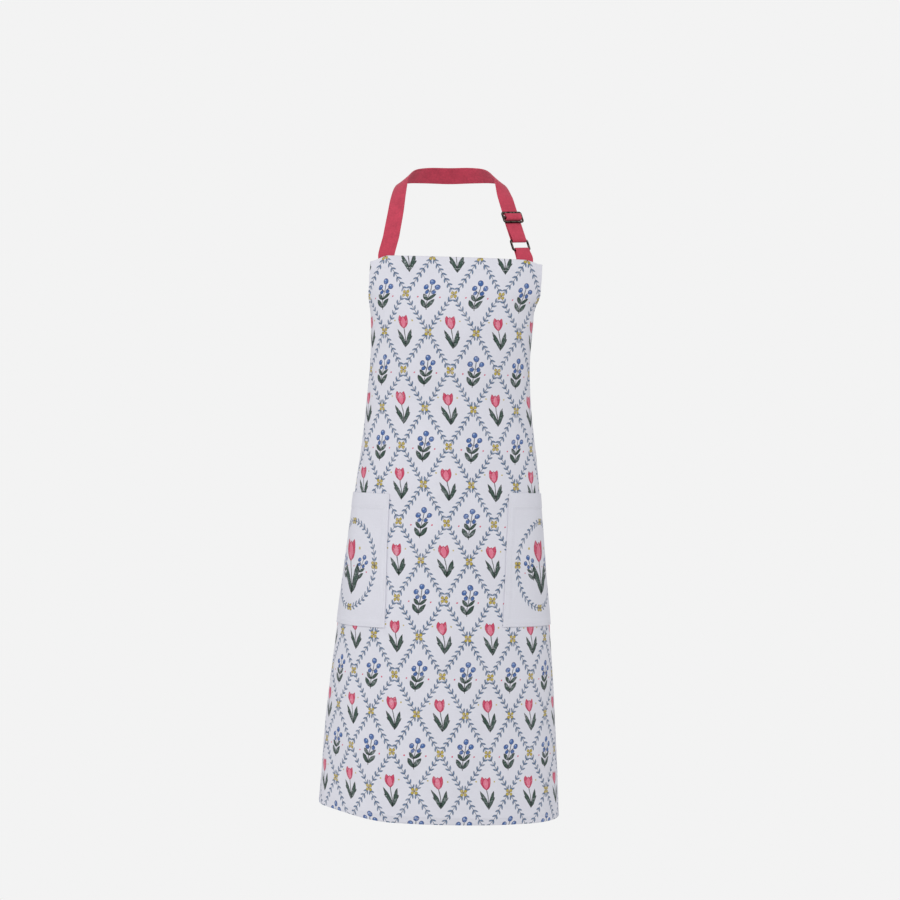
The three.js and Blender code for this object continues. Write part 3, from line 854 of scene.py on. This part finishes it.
ADJUSTER_DOWN = unit(SLIDER_DOWN)
ADJUSTER_FACE = unit(SLIDER_FACE - ADJUSTER_DOWN * np.dot(SLIDER_FACE, ADJUSTER_DOWN))
ADJUSTER_ACROSS = np.cross(ADJUSTER_FACE, ADJUSTER_DOWN)


def adjuster_point(along, out):
    """Points in the plane of the slider and the ring."""
    return SLIDER_MIDDLE + np.multiply.outer(along, ADJUSTER_DOWN) + np.multiply.outer(out, ADJUSTER_FACE)


def adjuster_stations(path, width):
    """Strap stations along a path in the adjuster's plane."""
    last = len(path) - 1
    steps = np.arange(len(path))
    run = unit(path[np.minimum(steps + 1, last)] - path[np.maximum(steps - 1, 0)])
    face = np.multiply.outer(-run[:, 1], ADJUSTER_DOWN) + np.multiply.outer(run[:, 0], ADJUSTER_FACE)
    return stations_of(adjuster_point(path[:, 0], path[:, 1]), face, width)


def round_bar(along, out, first, last):
    """Half a turn of strap round a bar."""
    angles = np.radians(np.linspace(first, last, TURN_STEPS + 1))
    return np.stack([along + TURN_RADIUS * np.sin(angles), out + TURN_RADIUS * np.cos(angles)], axis=1)


def neck_strap_stations():
    """From the bib's left corner, round the nape, through the slider, round the ring and back."""
    ring_turn = round_bar(RING_TOP_BAR, RING_OUT, 0, 180)
    path = np.concatenate([WEAVE, ring_turn, WAY_BACK, round_bar(0, 0, 180, 360)])
    width = np.full(len(path), STRAP_WIDTH)
    width[len(WEAVE):len(WEAVE) + len(ring_turn)] = RING_STRAP_WIDTH
    line = by_rows(NECK_LINE, NECK_STEPS)
    neck = stations_of(line[:, :3], unit(line[:, 3:]), STRAP_WIDTH)
    return even_stations(np.concatenate([sewn_stations(-1, 0), neck, adjuster_stations(path, width)]))


def ring_tab_stations():
    """A short doubled strap from behind the bib's right corner, over the ring's bottom bar."""
    bar = RING_TOP_BAR + RING_BAR_PITCH
    foot = [[bar + TAB_LEAD, RING_OUT + layer * TURN_RADIUS] for layer in (1, -1)]
    path = np.concatenate([foot[:1], round_bar(bar, RING_OUT, 360, 180), foot[1:]])
    turn = adjuster_stations(path, RING_STRAP_WIDTH)
    back = sewn_stations(1, 1)[::-1]
    turn[:, 3:6] *= -1.0
    back[:, 3:6] *= -1.0
    return even_stations(np.concatenate([sewn_stations(1, 0), turn, back]))


WAIST = through(SECTIONS, np.array([TIE_Z]))[0]
WAIST_LINE = half_section(WAIST, WAIST_POINTS)
BACK_X = WAIST[0]
BACK_Y = WAIST_LINE[-1, 1] - TIE_DEPTH


def waist_tie_stations(side):
    """From behind the panel's side hem, round to the middle of the back, and down through the knot."""
    run_end = run_along(WAIST_LINE)[-1] - TIE_END[0, 0] - TIE_EASE
    arc = side * np.linspace(SKIRT_HALF_WIDTH - TIE_SEWN, run_end, TIE_STATIONS)
    run = stations_under(arc, np.full_like(arc, TIE_Z), TIE_DEPTH)
    x, drop, width, thick, turn = by_rows(TIE_END, TIE_END_STEPS).T
    middle = leaned(np.stack([BACK_X + side * x, np.full_like(x, BACK_Y), TIE_Z - drop], axis=1))
    angle = np.radians(side * turn)
    face = np.stack([np.sin(angle), np.cos(angle), np.zeros_like(angle)], axis=1)
    return even_stations(np.concatenate([run, stations_of(middle, face, width, thick)]))


def around(count):
    """Even angles once round."""
    return np.linspace(0.0, FULL_TURN, count, endpoint=False)


def knot_band(material):
    """One turn of strap drawn tight round both ties, with soft creases."""
    turns = around(KNOT_POINTS[0])[:, None]
    rounds = around(KNOT_POINTS[1])[None, :]
    x = (KNOT_WIDTH - KNOT_WALL) / 2 * power(np.cos(turns), KNOT_OUTLINE_POWER)
    y = (KNOT_DEPTH - KNOT_WALL) / 2 * power(np.sin(turns), KNOT_OUTLINE_POWER)
    out = unit(np.stack([x / KNOT_WIDTH**2, y / KNOT_DEPTH**2], axis=-1))
    height = KNOT_HEIGHT / 2 * power(np.sin(rounds), KNOT_EDGE_POWER)
    crease = np.sin(CREASE_PACE * height + CREASE_SWEEP * np.sin(turns) + CREASE_START)
    swell = CREASE * crease * np.abs(np.cos(rounds)) + KNOT_SWELL * np.abs(np.sin(turns))
    wall = KNOT_WALL / 2 * power(np.cos(rounds), KNOT_WALL_POWER) + swell * (np.cos(rounds) > 0.0)
    pinched = height * (1.0 - KNOT_PINCH * np.cos(turns) ** 2)
    slant = KNOT_SLANT * np.cos(turns) * np.sin(turns + KNOT_SLANT_TURN)
    points = np.stack([
        BACK_X + x + wall * out[..., 0],
        BACK_Y + y + wall * out[..., 1],
        TIE_Z - KNOT_DROP + pinched + slant,
    ], axis=-1)
    faces = ring_faces(*KNOT_POINTS)
    places = leaned(points).reshape(-1, 3)
    piece = dressed("knot_band", places, faces.tolist(), [material], ["tie_knot"])
    flat = [np.broadcast_to(values, KNOT_POINTS).ravel() for values in (height, turns * KNOT_WIDTH / 3)]
    add_uv(piece, "Flat", np.stack(flat, axis=1)[faces.ravel()])
    return piece


def rounded_rectangle(half_width, half_height):
    """The middle line of a wire frame, as a closed loop."""
    loop = []
    for quarter, sides in enumerate(((1, 1), (-1, 1), (-1, -1), (1, -1))):
        angles = np.linspace(quarter, quarter + 1, CORNER_POINTS) * math.pi / 2
        corner = np.multiply(sides, (half_width - WIRE_CORNER, half_height - WIRE_CORNER))
        loop.append(corner + WIRE_CORNER * np.stack([np.cos(angles), np.sin(angles)], axis=1))
    return np.concatenate(loop)


def wire_loop(loop, along, out):
    """A round wire bent along a closed loop in the adjuster's plane."""
    run = unit(np.roll(loop, -1, axis=0) - np.roll(loop, 1, axis=0))
    angles = around(WIRE_SIDES)
    side = np.stack([run[:, 1], -run[:, 0]], axis=1)
    flat = loop[:, None, :] + WIRE / 2 * np.cos(angles)[None, :, None] * side[:, None, :]
    lift = np.broadcast_to(out + WIRE / 2 * np.sin(angles), flat.shape[:2])
    points = adjuster_point(along - flat[..., 1], lift) + flat[..., :1] * ADJUSTER_ACROSS
    return points.reshape(-1, 3), ring_faces(*flat.shape[:2]).tolist()


def wire_bar(half_length):
    """A straight round bar across the slider, with its ends inside the frame."""
    angles = around(WIRE_SIDES)
    ends = np.linspace(-half_length, half_length, BAR_RINGS)
    up = adjuster_point(WIRE / 2 * np.cos(angles), WIRE / 2 * np.sin(angles))
    points = up[None, :, :] + ends[:, None, None] * ADJUSTER_ACROSS
    return points.reshape(-1, 3), tube_faces(BAR_RINGS, WIRE_SIDES)


def metal_piece(name, half_width, half_height, along, out, barred, material, node):
    """A frame of round wire, mapped by how far it looks out and its place across."""
    parts = [wire_loop(rounded_rectangle(half_width, half_height), along, out)]
    if barred:
        parts.append(wire_bar(half_width))
    points, faces = joined(*parts)
    piece = dressed(name, points, faces, [material], [node])
    away = points - SLIDER_MIDDLE
    places = np.stack([(away @ ADJUSTER_FACE - out) * 2.0 / WIRE, away @ ADJUSTER_ACROSS], axis=1)
    add_uv(piece, "Flat", places[corners_of(faces)])
    return piece


def stitch_row(points, out):
    """The stitches along one line on cloth."""
    along = run_along(points)
    shares, radii, lifts = STITCH_FORM.T
    starts = np.arange(STITCH_LEAD, along[-1] - STITCH_LENGTH, STITCH_PITCH)
    places = starts[:, None] + shares * STITCH_LENGTH
    middle = placed_along(places, along, points)
    face = unit(placed_along(places, along, out))
    run = unit(middle[:, -1:] - middle[:, :1])
    side = unit(np.cross(face, np.broadcast_to(run, face.shape)))
    angles = -around(THREAD_SIDES)
    radius = THREAD_RADIUS * radii[:, None]
    wide = (radius * np.cos(angles))[None, :, :, None] * side[:, :, None, :]
    tall = (lifts[:, None] + radius * np.sin(angles))[None, :, :, None] * face[:, :, None, :]
    rings = middle[:, :, None, :] + wide + tall
    return rings.reshape(-1, 3), tube_faces(*rings.shape[:3])


def sewn_piece(name, rows, material):
    """Rows of stitches as one piece."""
    points, faces = joined(*rows)
    return dressed(name, points, faces, [material])


def panel_stitches(material):
    """Stitching along the hems, on both sides of the cloth."""
    inset = SIDE_HEM - STITCH_INSET
    top = TOP_HEM - STITCH_INSET
    drop = np.linspace(TOP_HEM, CLOTH_LENGTH - SIDE_HEM, SIDE_ROW_POINTS)
    half = half_width_at(drop) - inset
    top_half = half_width_at(top) - ROW_MARGIN
    foot_half = SKIRT_HALF_WIDTH - ROW_MARGIN
    lines = [
        (-half, drop),
        (half, drop),
        (np.linspace(-top_half, top_half, TOP_ROW_POINTS), top),
        (np.linspace(-foot_half, foot_half, FOOT_ROW_POINTS), CLOTH_LENGTH - inset),
    ]
    rows = []
    for arc, drops in lines:
        z = height_at(arc, drops)
        roll = hem_roll(arc, drops)
        out = outward(arc, z)
        rows.append(stitch_row(under(arc, z, THREAD_SINK - roll), out))
        rows.append(stitch_row(under(arc, z, HEM_THICKNESS - roll), -out))
    return sewn_piece("panel_stitches", rows, material)


def pocket_stitches(side, material):
    """Stitching round a pocket's sides and foot, and along its mouth's hem."""
    half = POCKET_WIDTH / 2 - POCKET_STITCH_INSET
    foot = POCKET_HEIGHT - POCKET_STITCH_INSET
    down = np.linspace(ROW_MARGIN, foot, POCKET_SIDE_POINTS)
    across = np.linspace(-half, half, POCKET_CROSS_POINTS)
    rows = []
    for line in ((-half, down), (half, down), (across, foot), (across, POCKET_HEM - STITCH_INSET)):
        x, y = np.broadcast_arrays(*line)
        arc, z = pocket_place(side, x, y)
        lift = pocket_lift(x, y) + POCKET_HEM_THICKNESS - THREAD_SINK
        rows.append(stitch_row(under(arc, z, -lift), outward(arc, z)))
    return sewn_piece(f"pocket_{SIDE_NAMES[side]}_stitches", rows, material)


def box_stitches(name, rows, start, end, side, material):
    """Stitches round a box and across it, between two distances along a strap."""
    middle, face, across, run = band_frame(rows)
    half = STRAP_WIDTH / 2 - BOX_INSET
    corners = [(start, -half), (end, -half), (end, half), (start, half)]
    lines = [*zip(corners, corners[1:] + corners[:1]), (corners[0], corners[2]), (corners[1], corners[3])]
    made = []
    for first, last in lines:
        along, x = np.linspace(first, last, BOX_POINTS).T
        out = side * unit(placed_along(along, run, face))
        line = placed_along(along, run, middle) + x[:, None] * placed_along(along, run, across)
        made.append(stitch_row(line + out * STRAP / 2, out))
    return sewn_piece(name, made, material)


def linear(code):
    """A colour's linear values from its hexadecimal code."""
    channels = [int(code[i:i + 2], 16) / 255.0 for i in (0, 2, 4)]
    values = [c / 12.92 if c <= 0.04045 else ((c + 0.055) / 1.055) ** 2.4 for c in channels]
    return (*values, 1.0)


def feed(tree, node, inputs):
    """Sets a node's inputs to values or colour codes, or links them to fields or outputs."""
    for key, value in inputs.items():
        socket = node.inputs[key]
        if isinstance(value, Field):
            value = value.socket
        if isinstance(value, bpy.types.NodeSocket):
            tree.links.new(value, socket)
        elif isinstance(value, str):
            socket.default_value = linear(value)[:len(socket.default_value)]
        else:
            socket.default_value = value


def add_node(tree, kind, inputs=None, **settings):
    """A shader node with its settings and inputs."""
    node = tree.nodes.new(f"ShaderNode{kind}")
    for name, value in settings.items():
        setattr(node, name, value)
    feed(tree, node, inputs or {})
    return node


class Field:
    """A number that varies over a surface, as math nodes of one material."""

    def __init__(self, tree, socket):
        self.tree = tree
        self.socket = socket

    def of(self, operation, *others, clamp=False):
        """The result of a math node on this number and others."""
        inputs = dict(enumerate((self, *others)))
        node = add_node(self.tree, "Math", inputs, operation=operation, use_clamp=clamp)
        return Field(self.tree, node.outputs[0])

    def scaled(self, rise, base, clamp=False):
        """This number times one value, plus another."""
        return self.of("MULTIPLY_ADD", rise, base, clamp=clamp)

    def __add__(self, other):
        return self.of("ADD", other)

    def __sub__(self, other):
        return self.of("SUBTRACT", other)

    def __mul__(self, other):
        return self.of("MULTIPLY", other)

    def __abs__(self):
        return self.of("ABSOLUTE")


def flat_place(tree):
    """The place on the flat cloth, in millimetres."""
    uv = add_node(tree, "UVMap", uv_map="Flat")
    parts = add_node(tree, "SeparateXYZ", {0: uv.outputs["UV"]})
    return Field(tree, parts.outputs["X"]), Field(tree, parts.outputs["Y"])


def noise(x, y, detail=2.0):
    """Smooth noise about 0.5, at a place measured in its own grain."""
    place = add_node(x.tree, "CombineXYZ", {"X": x, "Y": y})
    grain = add_node(x.tree, "TexNoise", {"Vector": place.outputs[0], "Scale": 1.0, "Detail": detail})
    return Field(x.tree, grain.outputs["Fac"])


def mottle(x, y, layers):
    """Layers of noise added up."""
    parts = [noise(x * across, y * along) * strength for across, along, strength in layers]
    return sum(parts[1:], parts[0])


def grain_of(tree, scale, detail=2.0):
    """Noise in the space around a piece, in metres."""
    place = add_node(tree, "TexCoord")
    grain = add_node(tree, "TexNoise", {"Vector": place.outputs["Object"], "Scale": scale, "Detail": detail})
    return Field(tree, grain.outputs["Fac"])


def painted(colour, mask, over):
    """A colour laid over another where the mask is 1."""
    inputs = {"Factor": mask, "A": colour, "B": over}
    return add_node(mask.tree, "Mix", inputs, data_type="RGBA").outputs["Result"]


def shaded(colour, factor):
    """A colour made lighter or darker by a number about 1."""
    return add_node(factor.tree, "VectorMath", {0: colour, "Scale": factor}, operation="SCALE").outputs[0]


def inked(distance):
    """A mask that is 1 inside a shape, with a soft printed edge."""
    return distance.scaled(-1.0 / INK_EDGE, 0.5, clamp=True)


def nearest(*distances):
    """Distance from several shapes together."""
    joint = distances[0]
    for distance in distances[1:]:
        joint = joint.of("MINIMUM", distance)
    return joint


def turned(x, y, degrees):
    """A place in axes turned anticlockwise."""
    c, s = math.cos(math.radians(degrees)), math.sin(math.radians(degrees))
    return x.scaled(c, y * s), y.scaled(c, x * -s)


def length_of(x, y):
    """Distance from the origin."""
    return x.scaled(x, y * y).of("SQRT")


def leaf(x, y, length, width):
    """Distance from a pointed leaf that grows along y from the origin."""
    a, b = length / 2, width / 2
    offset = (a * a - b * b) / (2 * b)
    return length_of(abs(x) + offset, y - a) - (offset + b)


def leaf_pair(x, y, start, degrees, length, width):
    """Distance from a pair of leaves, one to each side of a stem along y."""
    return leaf(*turned(abs(x), y - start, -degrees), length, width)


def petals(x, y, *sizes):
    """Distance from a pair of petals that overlap on the stem."""
    return leaf_pair(abs(x) - PETAL_SHIFT, y, *sizes)


def dot(x, y, at_x, at_y, radius):
    """Distance from a round spot."""
    return length_of(x - at_x, y - at_y) - radius


def dot_pair(x, y, *sizes):
    """Distance from a pair of spots."""
    return dot(abs(x), y, *sizes)


def stem(x, y, low, high, half_width):
    """Distance from a straight stem along y."""
    reach = abs(y - (low + high) / 2) - (high - low) / 2
    return (abs(x) - half_width).of("MAXIMUM", reach)


def printed(colour, distance, deep, light=None, rim=0.0):
    """A printed shape, with a lighter middle within a rim where it has one."""
    colour = painted(colour, inked(distance), deep)
    if light:
        colour = painted(colour, inked(distance + rim), light)
    return colour


# Sprigs, about 46 high: how the stem sways, as pace and reach, then layers of shapes with their inks.
# A stem has ends and half width, leaves have start, lean, length and width, and a spot place and radius.
LEAF_INKS = (LEAF_DEEP, LEAF_GREEN, LEAF_RIM)
TULIP = (
    (0.085, 2.6),
    ([(stem, -22.0, 7.0, 0.55)], LEAF_DEEP),
    ([(leaf_pair, -22.0, 22.0, 27.0, 5.8), (leaf_pair, -15.0, 50.0, 14.0, 4.2)], *LEAF_INKS),
    ([(dot_pair, 13.0, 15.0, 1.1)], MUSTARD),
    ([(petals, 4.0, 15.0, 18.5, 7.6)], ROSE_DEEP, ROSE, RIM),
    ([(leaf_pair, 4.0, 0.0, 16.5, 8.6)], ROSE_DEEP, ROSE_LIGHT, RIM),
)
BERRY_TWIG = (
    (0.08, -2.4),
    ([(stem, -22.0, 13.0, 0.5), (leaf_pair, 2.0, 48.0, 10.0, 1.1)], LEAF_DEEP),
    ([(leaf_pair, -20.0, 36.0, 16.0, 6.0), (leaf_pair, -9.0, 44.0, 13.0, 5.0)], *LEAF_INKS),
    ([(dot_pair, 15.0, -4.0, 1.1)], ROSE),
    ([(dot, 0.0, 16.5, 3.9), (dot_pair, 7.8, 9.6, 3.6), (dot_pair, 4.6, 2.4, 2.9)], BERRY_DEEP, BERRY, RIM),
    ([(dot, -1.1, 17.8, 1.1), (dot_pair, 7.0, 10.9, 1.0)], BERRY_LIGHT),
)


def sprig(colour, x, y, sway, *layers):
    """A sprig printed layer by layer on a stem that bends both ways."""
    pace, reach = sway
    x = x + (y * pace).of("SINE") * reach
    for shapes, *inks in layers:
        colour = printed(colour, nearest(*(shape(x, y, *sizes) for shape, *sizes in shapes)), *inks)
    return colour


def garland(colour, along, across, pitch, keep):
    """A stem along one direction with small leaves in pairs, where keep is 1."""
    place = along.of("WRAP", pitch / 2, -pitch / 2) + pitch / 2
    length, width = (pitch * share for share in GARLAND_LEAF)
    leaves = leaf_pair(across, place, GARLAND_STEM, GARLAND_LEAN, length, width)
    colour = painted(colour, inked(abs(across) - GARLAND_STEM) * keep, SLATE_DEEP)
    colour = painted(colour, inked(leaves) * keep, SLATE_DEEP)
    return painted(colour, inked(leaves + GARLAND_RIM) * keep, SLATE)


def crossing(colour, x, y):
    """Four mustard spots round a darker one."""
    colour = printed(colour, dot(abs(x), abs(y), *CROSSING_SPOTS), MUSTARD_DEEP, MUSTARD, SPOT_RIM)
    return printed(colour, dot(x, y, *CROSSING_HEART), MUSTARD_DEEP)


def uneven(x, y):
    """A place moved a little, as a block print wanders."""
    new_x, new_y = x, y
    for grain, across, along in WANDER:
        shift = noise(x * grain, y * grain) - 0.5
        new_x = new_x + shift * across
        new_y = new_y + shift * along
    return new_x, new_y


def thin_ink(tree, colour, ground):
    """Ink that lies thinner in places, so that the ground shows through."""
    patches = mottle(*flat_place(tree), INK_PATCHES)
    return painted(colour, patches.scaled(*INK_THINNING, clamp=True), ground)


def print_colour(tree, ground):
    """The all-over print on its ground colour."""
    u, v = uneven(*flat_place(tree))
    half_width, half_height = CELL_WIDTH / 2, CELL_HEIGHT / 2
    fold_u = u.of("PINGPONG", half_width)
    fold_v = v.of("PINGPONG", half_height)
    length = math.hypot(half_width, half_height)
    slope = math.degrees(math.atan2(half_width, half_height))
    across, along = turned(fold_u - half_width, fold_v, slope)
    keep = inked(abs(along - length / 2) - (length / 2 - TRELLIS_CLEAR))
    colour = garland(ground, along, across, length / TRELLIS_LEAVES, keep)
    colour = crossing(colour, fold_u - half_width, fold_v)
    colour = crossing(colour, fold_u, fold_v - half_height)
    for shift, shapes in enumerate((TULIP, BERRY_TWIG)):
        x = (u + shift * half_width).of("WRAP", half_width, -half_width) * (1.0 / SPRIG_SCALE)
        y = (v + shift * half_height).of("WRAP", half_height, -half_height) * (1.0 / SPRIG_SCALE)
        colour = sprig(colour, x, y, *shapes)
    return thin_ink(tree, colour, ground)


def posy_colour(tree, ground):
    """A wreath round one large tulip with a berry twig to each side."""
    x, y = uneven(*flat_place(tree))
    y = y + WREATH_DROP
    middle = (WREATH_HALF_WIDTH + WREATH_HALF_HEIGHT) / 2
    ring_x = x * (1.0 / WREATH_HALF_WIDTH)
    ring_y = y * (1.0 / WREATH_HALF_HEIGHT)
    along = ring_y.of("ARCTAN2", ring_x) * middle
    out = (length_of(ring_x, ring_y) - 1.0) * middle
    keep = inked(abs(out) - WREATH_BAND)
    colour = garland(ground, along, out, FULL_TURN * middle / WREATH_LEAVES, keep)
    colour = crossing(colour, abs(x) - WREATH_HALF_WIDTH, y)
    colour = crossing(colour, x, abs(y) - WREATH_HALF_HEIGHT)
    low_y = y + POSY_DROP
    colour = sprig(colour, *turned(abs(x) - POSY_TWIG_X, low_y, POSY_TWIG_LEAN), *BERRY_TWIG)
    return thin_ink(tree, sprig(colour, x * POSY_SCALE, low_y * POSY_SCALE, *TULIP), ground)


def shader(name):
    """A new material, its node tree and its shader."""
    material = bpy.data.materials.new(name)
    material.use_nodes = True
    return material, material.node_tree, material.node_tree.nodes["Principled BSDF"]


def threads(u, v, width):
    """Uneven threads both ways, as a height."""
    fine, long = THREAD_ACROSS / width, THREAD_ALONG / width
    return noise(u * fine, v * long, 1.0) + noise(u * long + WEFT_OFFSET, v * fine, 1.0)


def bumped(height, strength, distance):
    """The direction a surface seems to look where a height bumps it."""
    inputs = {"Strength": strength, "Distance": distance, "Height": height}
    return add_node(height.tree, "Bump", inputs).outputs["Normal"]


def cotton(name, ground, colour_of=None, strength=0.0):
    """Woven cotton with uneven threads and a print of a given strength."""
    material, tree, bsdf = shader(name)
    u, v = flat_place(tree)
    weave = threads(u, v, COTTON_THREAD)
    colour = ground
    if colour_of:
        bleed = mottle(u, v, BLEED) + (strength - BLEED_MEAN)
        colour = painted(ground, bleed, colour_of(tree, ground))
    feed(tree, bsdf, {
        "Base Color": shaded(colour, weave.scaled(*COTTON_SHADE) + mottle(u, v, WASH)),
        "Roughness": weave.scaled(*COTTON_ROUGHNESS),
        "Specular IOR Level": CLOTH_SPECULAR,
        "Sheen Weight": COTTON_SHEEN,
        "Normal": bumped(weave, *COTTON_BUMP),
    })
    return material


def strap_cotton():
    """Rose cotton with a visible weave and a row of stitching near each edge."""
    material, tree, bsdf = shader("strap_cotton_cloth")
    u, v = flat_place(tree)
    weave = threads(u, v, STRAP_THREAD)
    dash = (v * (FULL_TURN / STITCH_PITCH)).of("SINE").scaled(*SEAM_DASH, clamp=True)
    seam = abs(abs(u) - PRESSED_LINE).scaled(*SEAM_EDGE, clamp=True) * dash
    factor = weave.scaled(*STRAP_SHADE) + mottle(u, v, HEATHER) + seam * SEAM_SHADE
    feed(tree, bsdf, {
        "Base Color": shaded(STRAP_ROSE, factor),
        "Roughness": weave.scaled(*STRAP_ROUGHNESS),
        "Specular IOR Level": CLOTH_SPECULAR,
        "Sheen Weight": STRAP_SHEEN,
        "Sheen Roughness": STRAP_SHEEN_ROUGHNESS,
        "Normal": bumped(weave + seam * SEAM_HEIGHT, *STRAP_BUMP),
    })
    return material


def thread(name, code):
    """Twisted sewing thread."""
    material, tree, bsdf = shader(name)
    colour = shaded(code, grain_of(tree, THREAD_GRAIN).scaled(*THREAD_SHADE))
    feed(tree, bsdf, {"Base Color": colour, "Roughness": THREAD_ROUGHNESS, "Sheen Weight": STRAP_SHEEN})
    return material


def dark_metal():
    """Dark plated wire, lighter in places where it looks outward: partly rubbed wear, partly a painted
    highlight.
    """
    material, tree, bsdf = shader("dark_metal_wire")
    rise, _ = flat_place(tree)
    fine = grain_of(tree, METAL_GRAIN)
    # Lighter where the wire looks outward, with noise: rubbed wear plus a painted highlight.
    patches = grain_of(tree, WEAR_HIGHLIGHT_GRAIN, WEAR_HIGHLIGHT_DETAIL).scaled(WEAR_HIGHLIGHT_REACH, rise)
    wear_and_highlight = patches.scaled(*WEAR_HIGHLIGHT_EDGE, clamp=True) * WEAR_HIGHLIGHT_SHARE
    feed(tree, bsdf, {
        "Base Color": shaded(painted(GUNMETAL, wear_and_highlight, WORN_HIGHLIGHT_METAL), fine.scaled(*METAL_SHADE)),
        "Metallic": 1.0,
        "Roughness": fine.scaled(*METAL_ROUGHNESS),
        "Normal": bumped(fine, *METAL_BUMP),
    })
    return material


def show_mix(tree, output, share, first, second):
    """Gives an output a mix of two shaders, all of the second where the share is 1."""
    shaders = {"Fac": share, 1: first.outputs[0], 2: second.outputs[0]}
    feed(tree, tree.nodes[output], {"Surface": add_node(tree, "MixShader", shaders).outputs[0]})


def floor_material():
    """A plain pale studio floor with a faint mottle, which fades out towards its rim."""
    material, tree, bsdf = shader("floor_pale")
    feed(tree, bsdf, {
        "Base Color": shaded(FLOOR_PALE, grain_of(tree, FLOOR_GRAIN).scaled(*FLOOR_SHADE)),
        "Roughness": FLOOR_ROUGHNESS,
        "Emission Strength": FLOOR_GLOW,
    })
    place = add_node(tree, "TexCoord")
    away = add_node(tree, "VectorMath", {0: place.outputs["Object"]}, operation="LENGTH")
    reach = {"Value": away.outputs["Value"], "From Min": FLOOR_FADE_FROM, "From Max": FLOOR_RADIUS}
    fade = add_node(tree, "MapRange", reach, interpolation_type="SMOOTHSTEP")
    show_mix(tree, "Material Output", fade.outputs["Result"], bsdf, add_node(tree, "BsdfTransparent"))
    return material


def studio_floor():
    """A round floor below the apron."""
    turns = around(FLOOR_POINTS)
    points = FLOOR_RADIUS * np.stack([np.cos(turns), np.sin(turns), np.zeros_like(turns)], axis=1)
    floor = meshed("studio_floor", points, [list(range(FLOOR_POINTS))], [floor_material()])
    floor.location = (0.0, 0.0, FLOOR_Z)


def soft_box(name, place, size, energy):
    """A square area light that looks at the apron."""
    light = bpy.data.lights.new(name, "AREA")
    light.size = size
    light.energy = energy
    lamp = linked(name, light)
    lamp.location = place
    lamp.visible_camera = False
    x, y, z = LIGHT_AIM - place
    lamp.rotation_euler = (math.atan2(math.hypot(x, y), -z), 0.0, math.atan2(-x, y))


def studio_light():
    """Large soft boxes in a pale room, one high in front, one to each side and one behind."""
    world = bpy.data.worlds.new("studio")
    bpy.context.scene.world = world
    world.use_nodes = True
    tree = world.node_tree
    seen = tree.nodes["Background"]
    feed(tree, seen, {"Color": (BACKDROP, BACKDROP, BACKDROP, 1.0)})
    place = add_node(tree, "TexCoord")
    parts = add_node(tree, "SeparateXYZ", {0: place.outputs["Generated"]})
    strength = Field(tree, parts.outputs["Z"]).scaled(ROOM_RISE, ROOM_MIDDLE)
    room = add_node(tree, "Background", {"Color": ROOM_TINT, "Strength": strength})
    path = add_node(tree, "LightPath")
    show_mix(tree, "World Output", path.outputs["Is Camera Ray"], room, seen)
    for name, (place, size, energy) in SOFT_BOXES.items():
        soft_box(name, place, size, energy)


def camera():
    """A level camera at the photograph's distance."""
    lens = bpy.data.cameras.new("camera")
    lens.lens = CAMERA_LENS
    eye = linked("camera", lens)
    eye.location = CAMERA_PLACE
    eye.rotation_euler = (math.pi / 2, 0.0, 0.0)
    bpy.context.scene.camera = eye


def panel_area():
    """The panel's flat area in square metres."""
    drops = np.linspace(0.0, CLOTH_LENGTH, 2001)
    widths = 2.0 * half_width_at(drops)
    return float(np.mean((widths[1:] + widths[:-1]) / 2) * CLOTH_LENGTH * MM * MM)


camera()
studio_floor()
studio_light()
bpy.context.scene.view_settings.view_transform = "Standard"

print_face = cotton("printed_cotton_face", GROUND, print_colour, 1.0)
print_back = cotton("printed_cotton_back", REVERSE, print_colour, 0.17)
pocket_face = cotton("plain_cotton_face", GROUND, posy_colour, 1.0)
pocket_back = cotton("plain_cotton_back", REVERSE)
rose = strap_cotton()
white_thread = thread("white_thread", THREAD_WHITE)
rose_thread = thread("rose_thread", THREAD_ROSE)
metal = dark_metal()

neck_rows = neck_strap_stations()
neck = band_piece("neck_strap_band", neck_rows, rose, "neck_strap")
tab_rows = ring_tab_stations()
tab = band_piece("ring_tab_band", tab_rows, rose, "ring_tab")
slider = metal_piece(
    "slider_wire", SLIDER_HALF_WIDTH, SLIDER_BAR_PITCH, 0.0, 0.0, True, metal, "strap_slider",
)
ring = metal_piece(
    "ring_wire", RING_HALF_WIDTH, RING_BAR_PITCH / 2, RING_MIDDLE, RING_OUT, False, metal, "strap_ring",
)
knot = knot_band(rose)
panel = panel_cloth([print_face, print_back])
panel_thread = panel_stitches(white_thread)
panel_area()
tab_end = run_along(tab_rows[:, :3])[-1]
tab_box = (tab_end - BOX_START, tab_end - BOX_END)
neck_thread = box_stitches("neck_strap_stitches", neck_rows, BOX_START, BOX_END, -1.0, rose_thread)
tab_thread = box_stitches("ring_tab_stitches", tab_rows, *tab_box, 1.0, rose_thread)
for sign, word in SIDE_NAMES.items():
    pocket = pocket_cloth(sign, [pocket_face, pocket_back])
    pocket_thread = pocket_stitches(sign, white_thread)
    tie_rows = waist_tie_stations(sign)
    tie = band_piece(f"waist_tie_{word}_band", tie_rows, rose, f"waist_tie_{word}")
    tie_thread = box_stitches(f"waist_tie_{word}_stitches", tie_rows, BOX_START, BOX_END, -1.0, rose_thread)
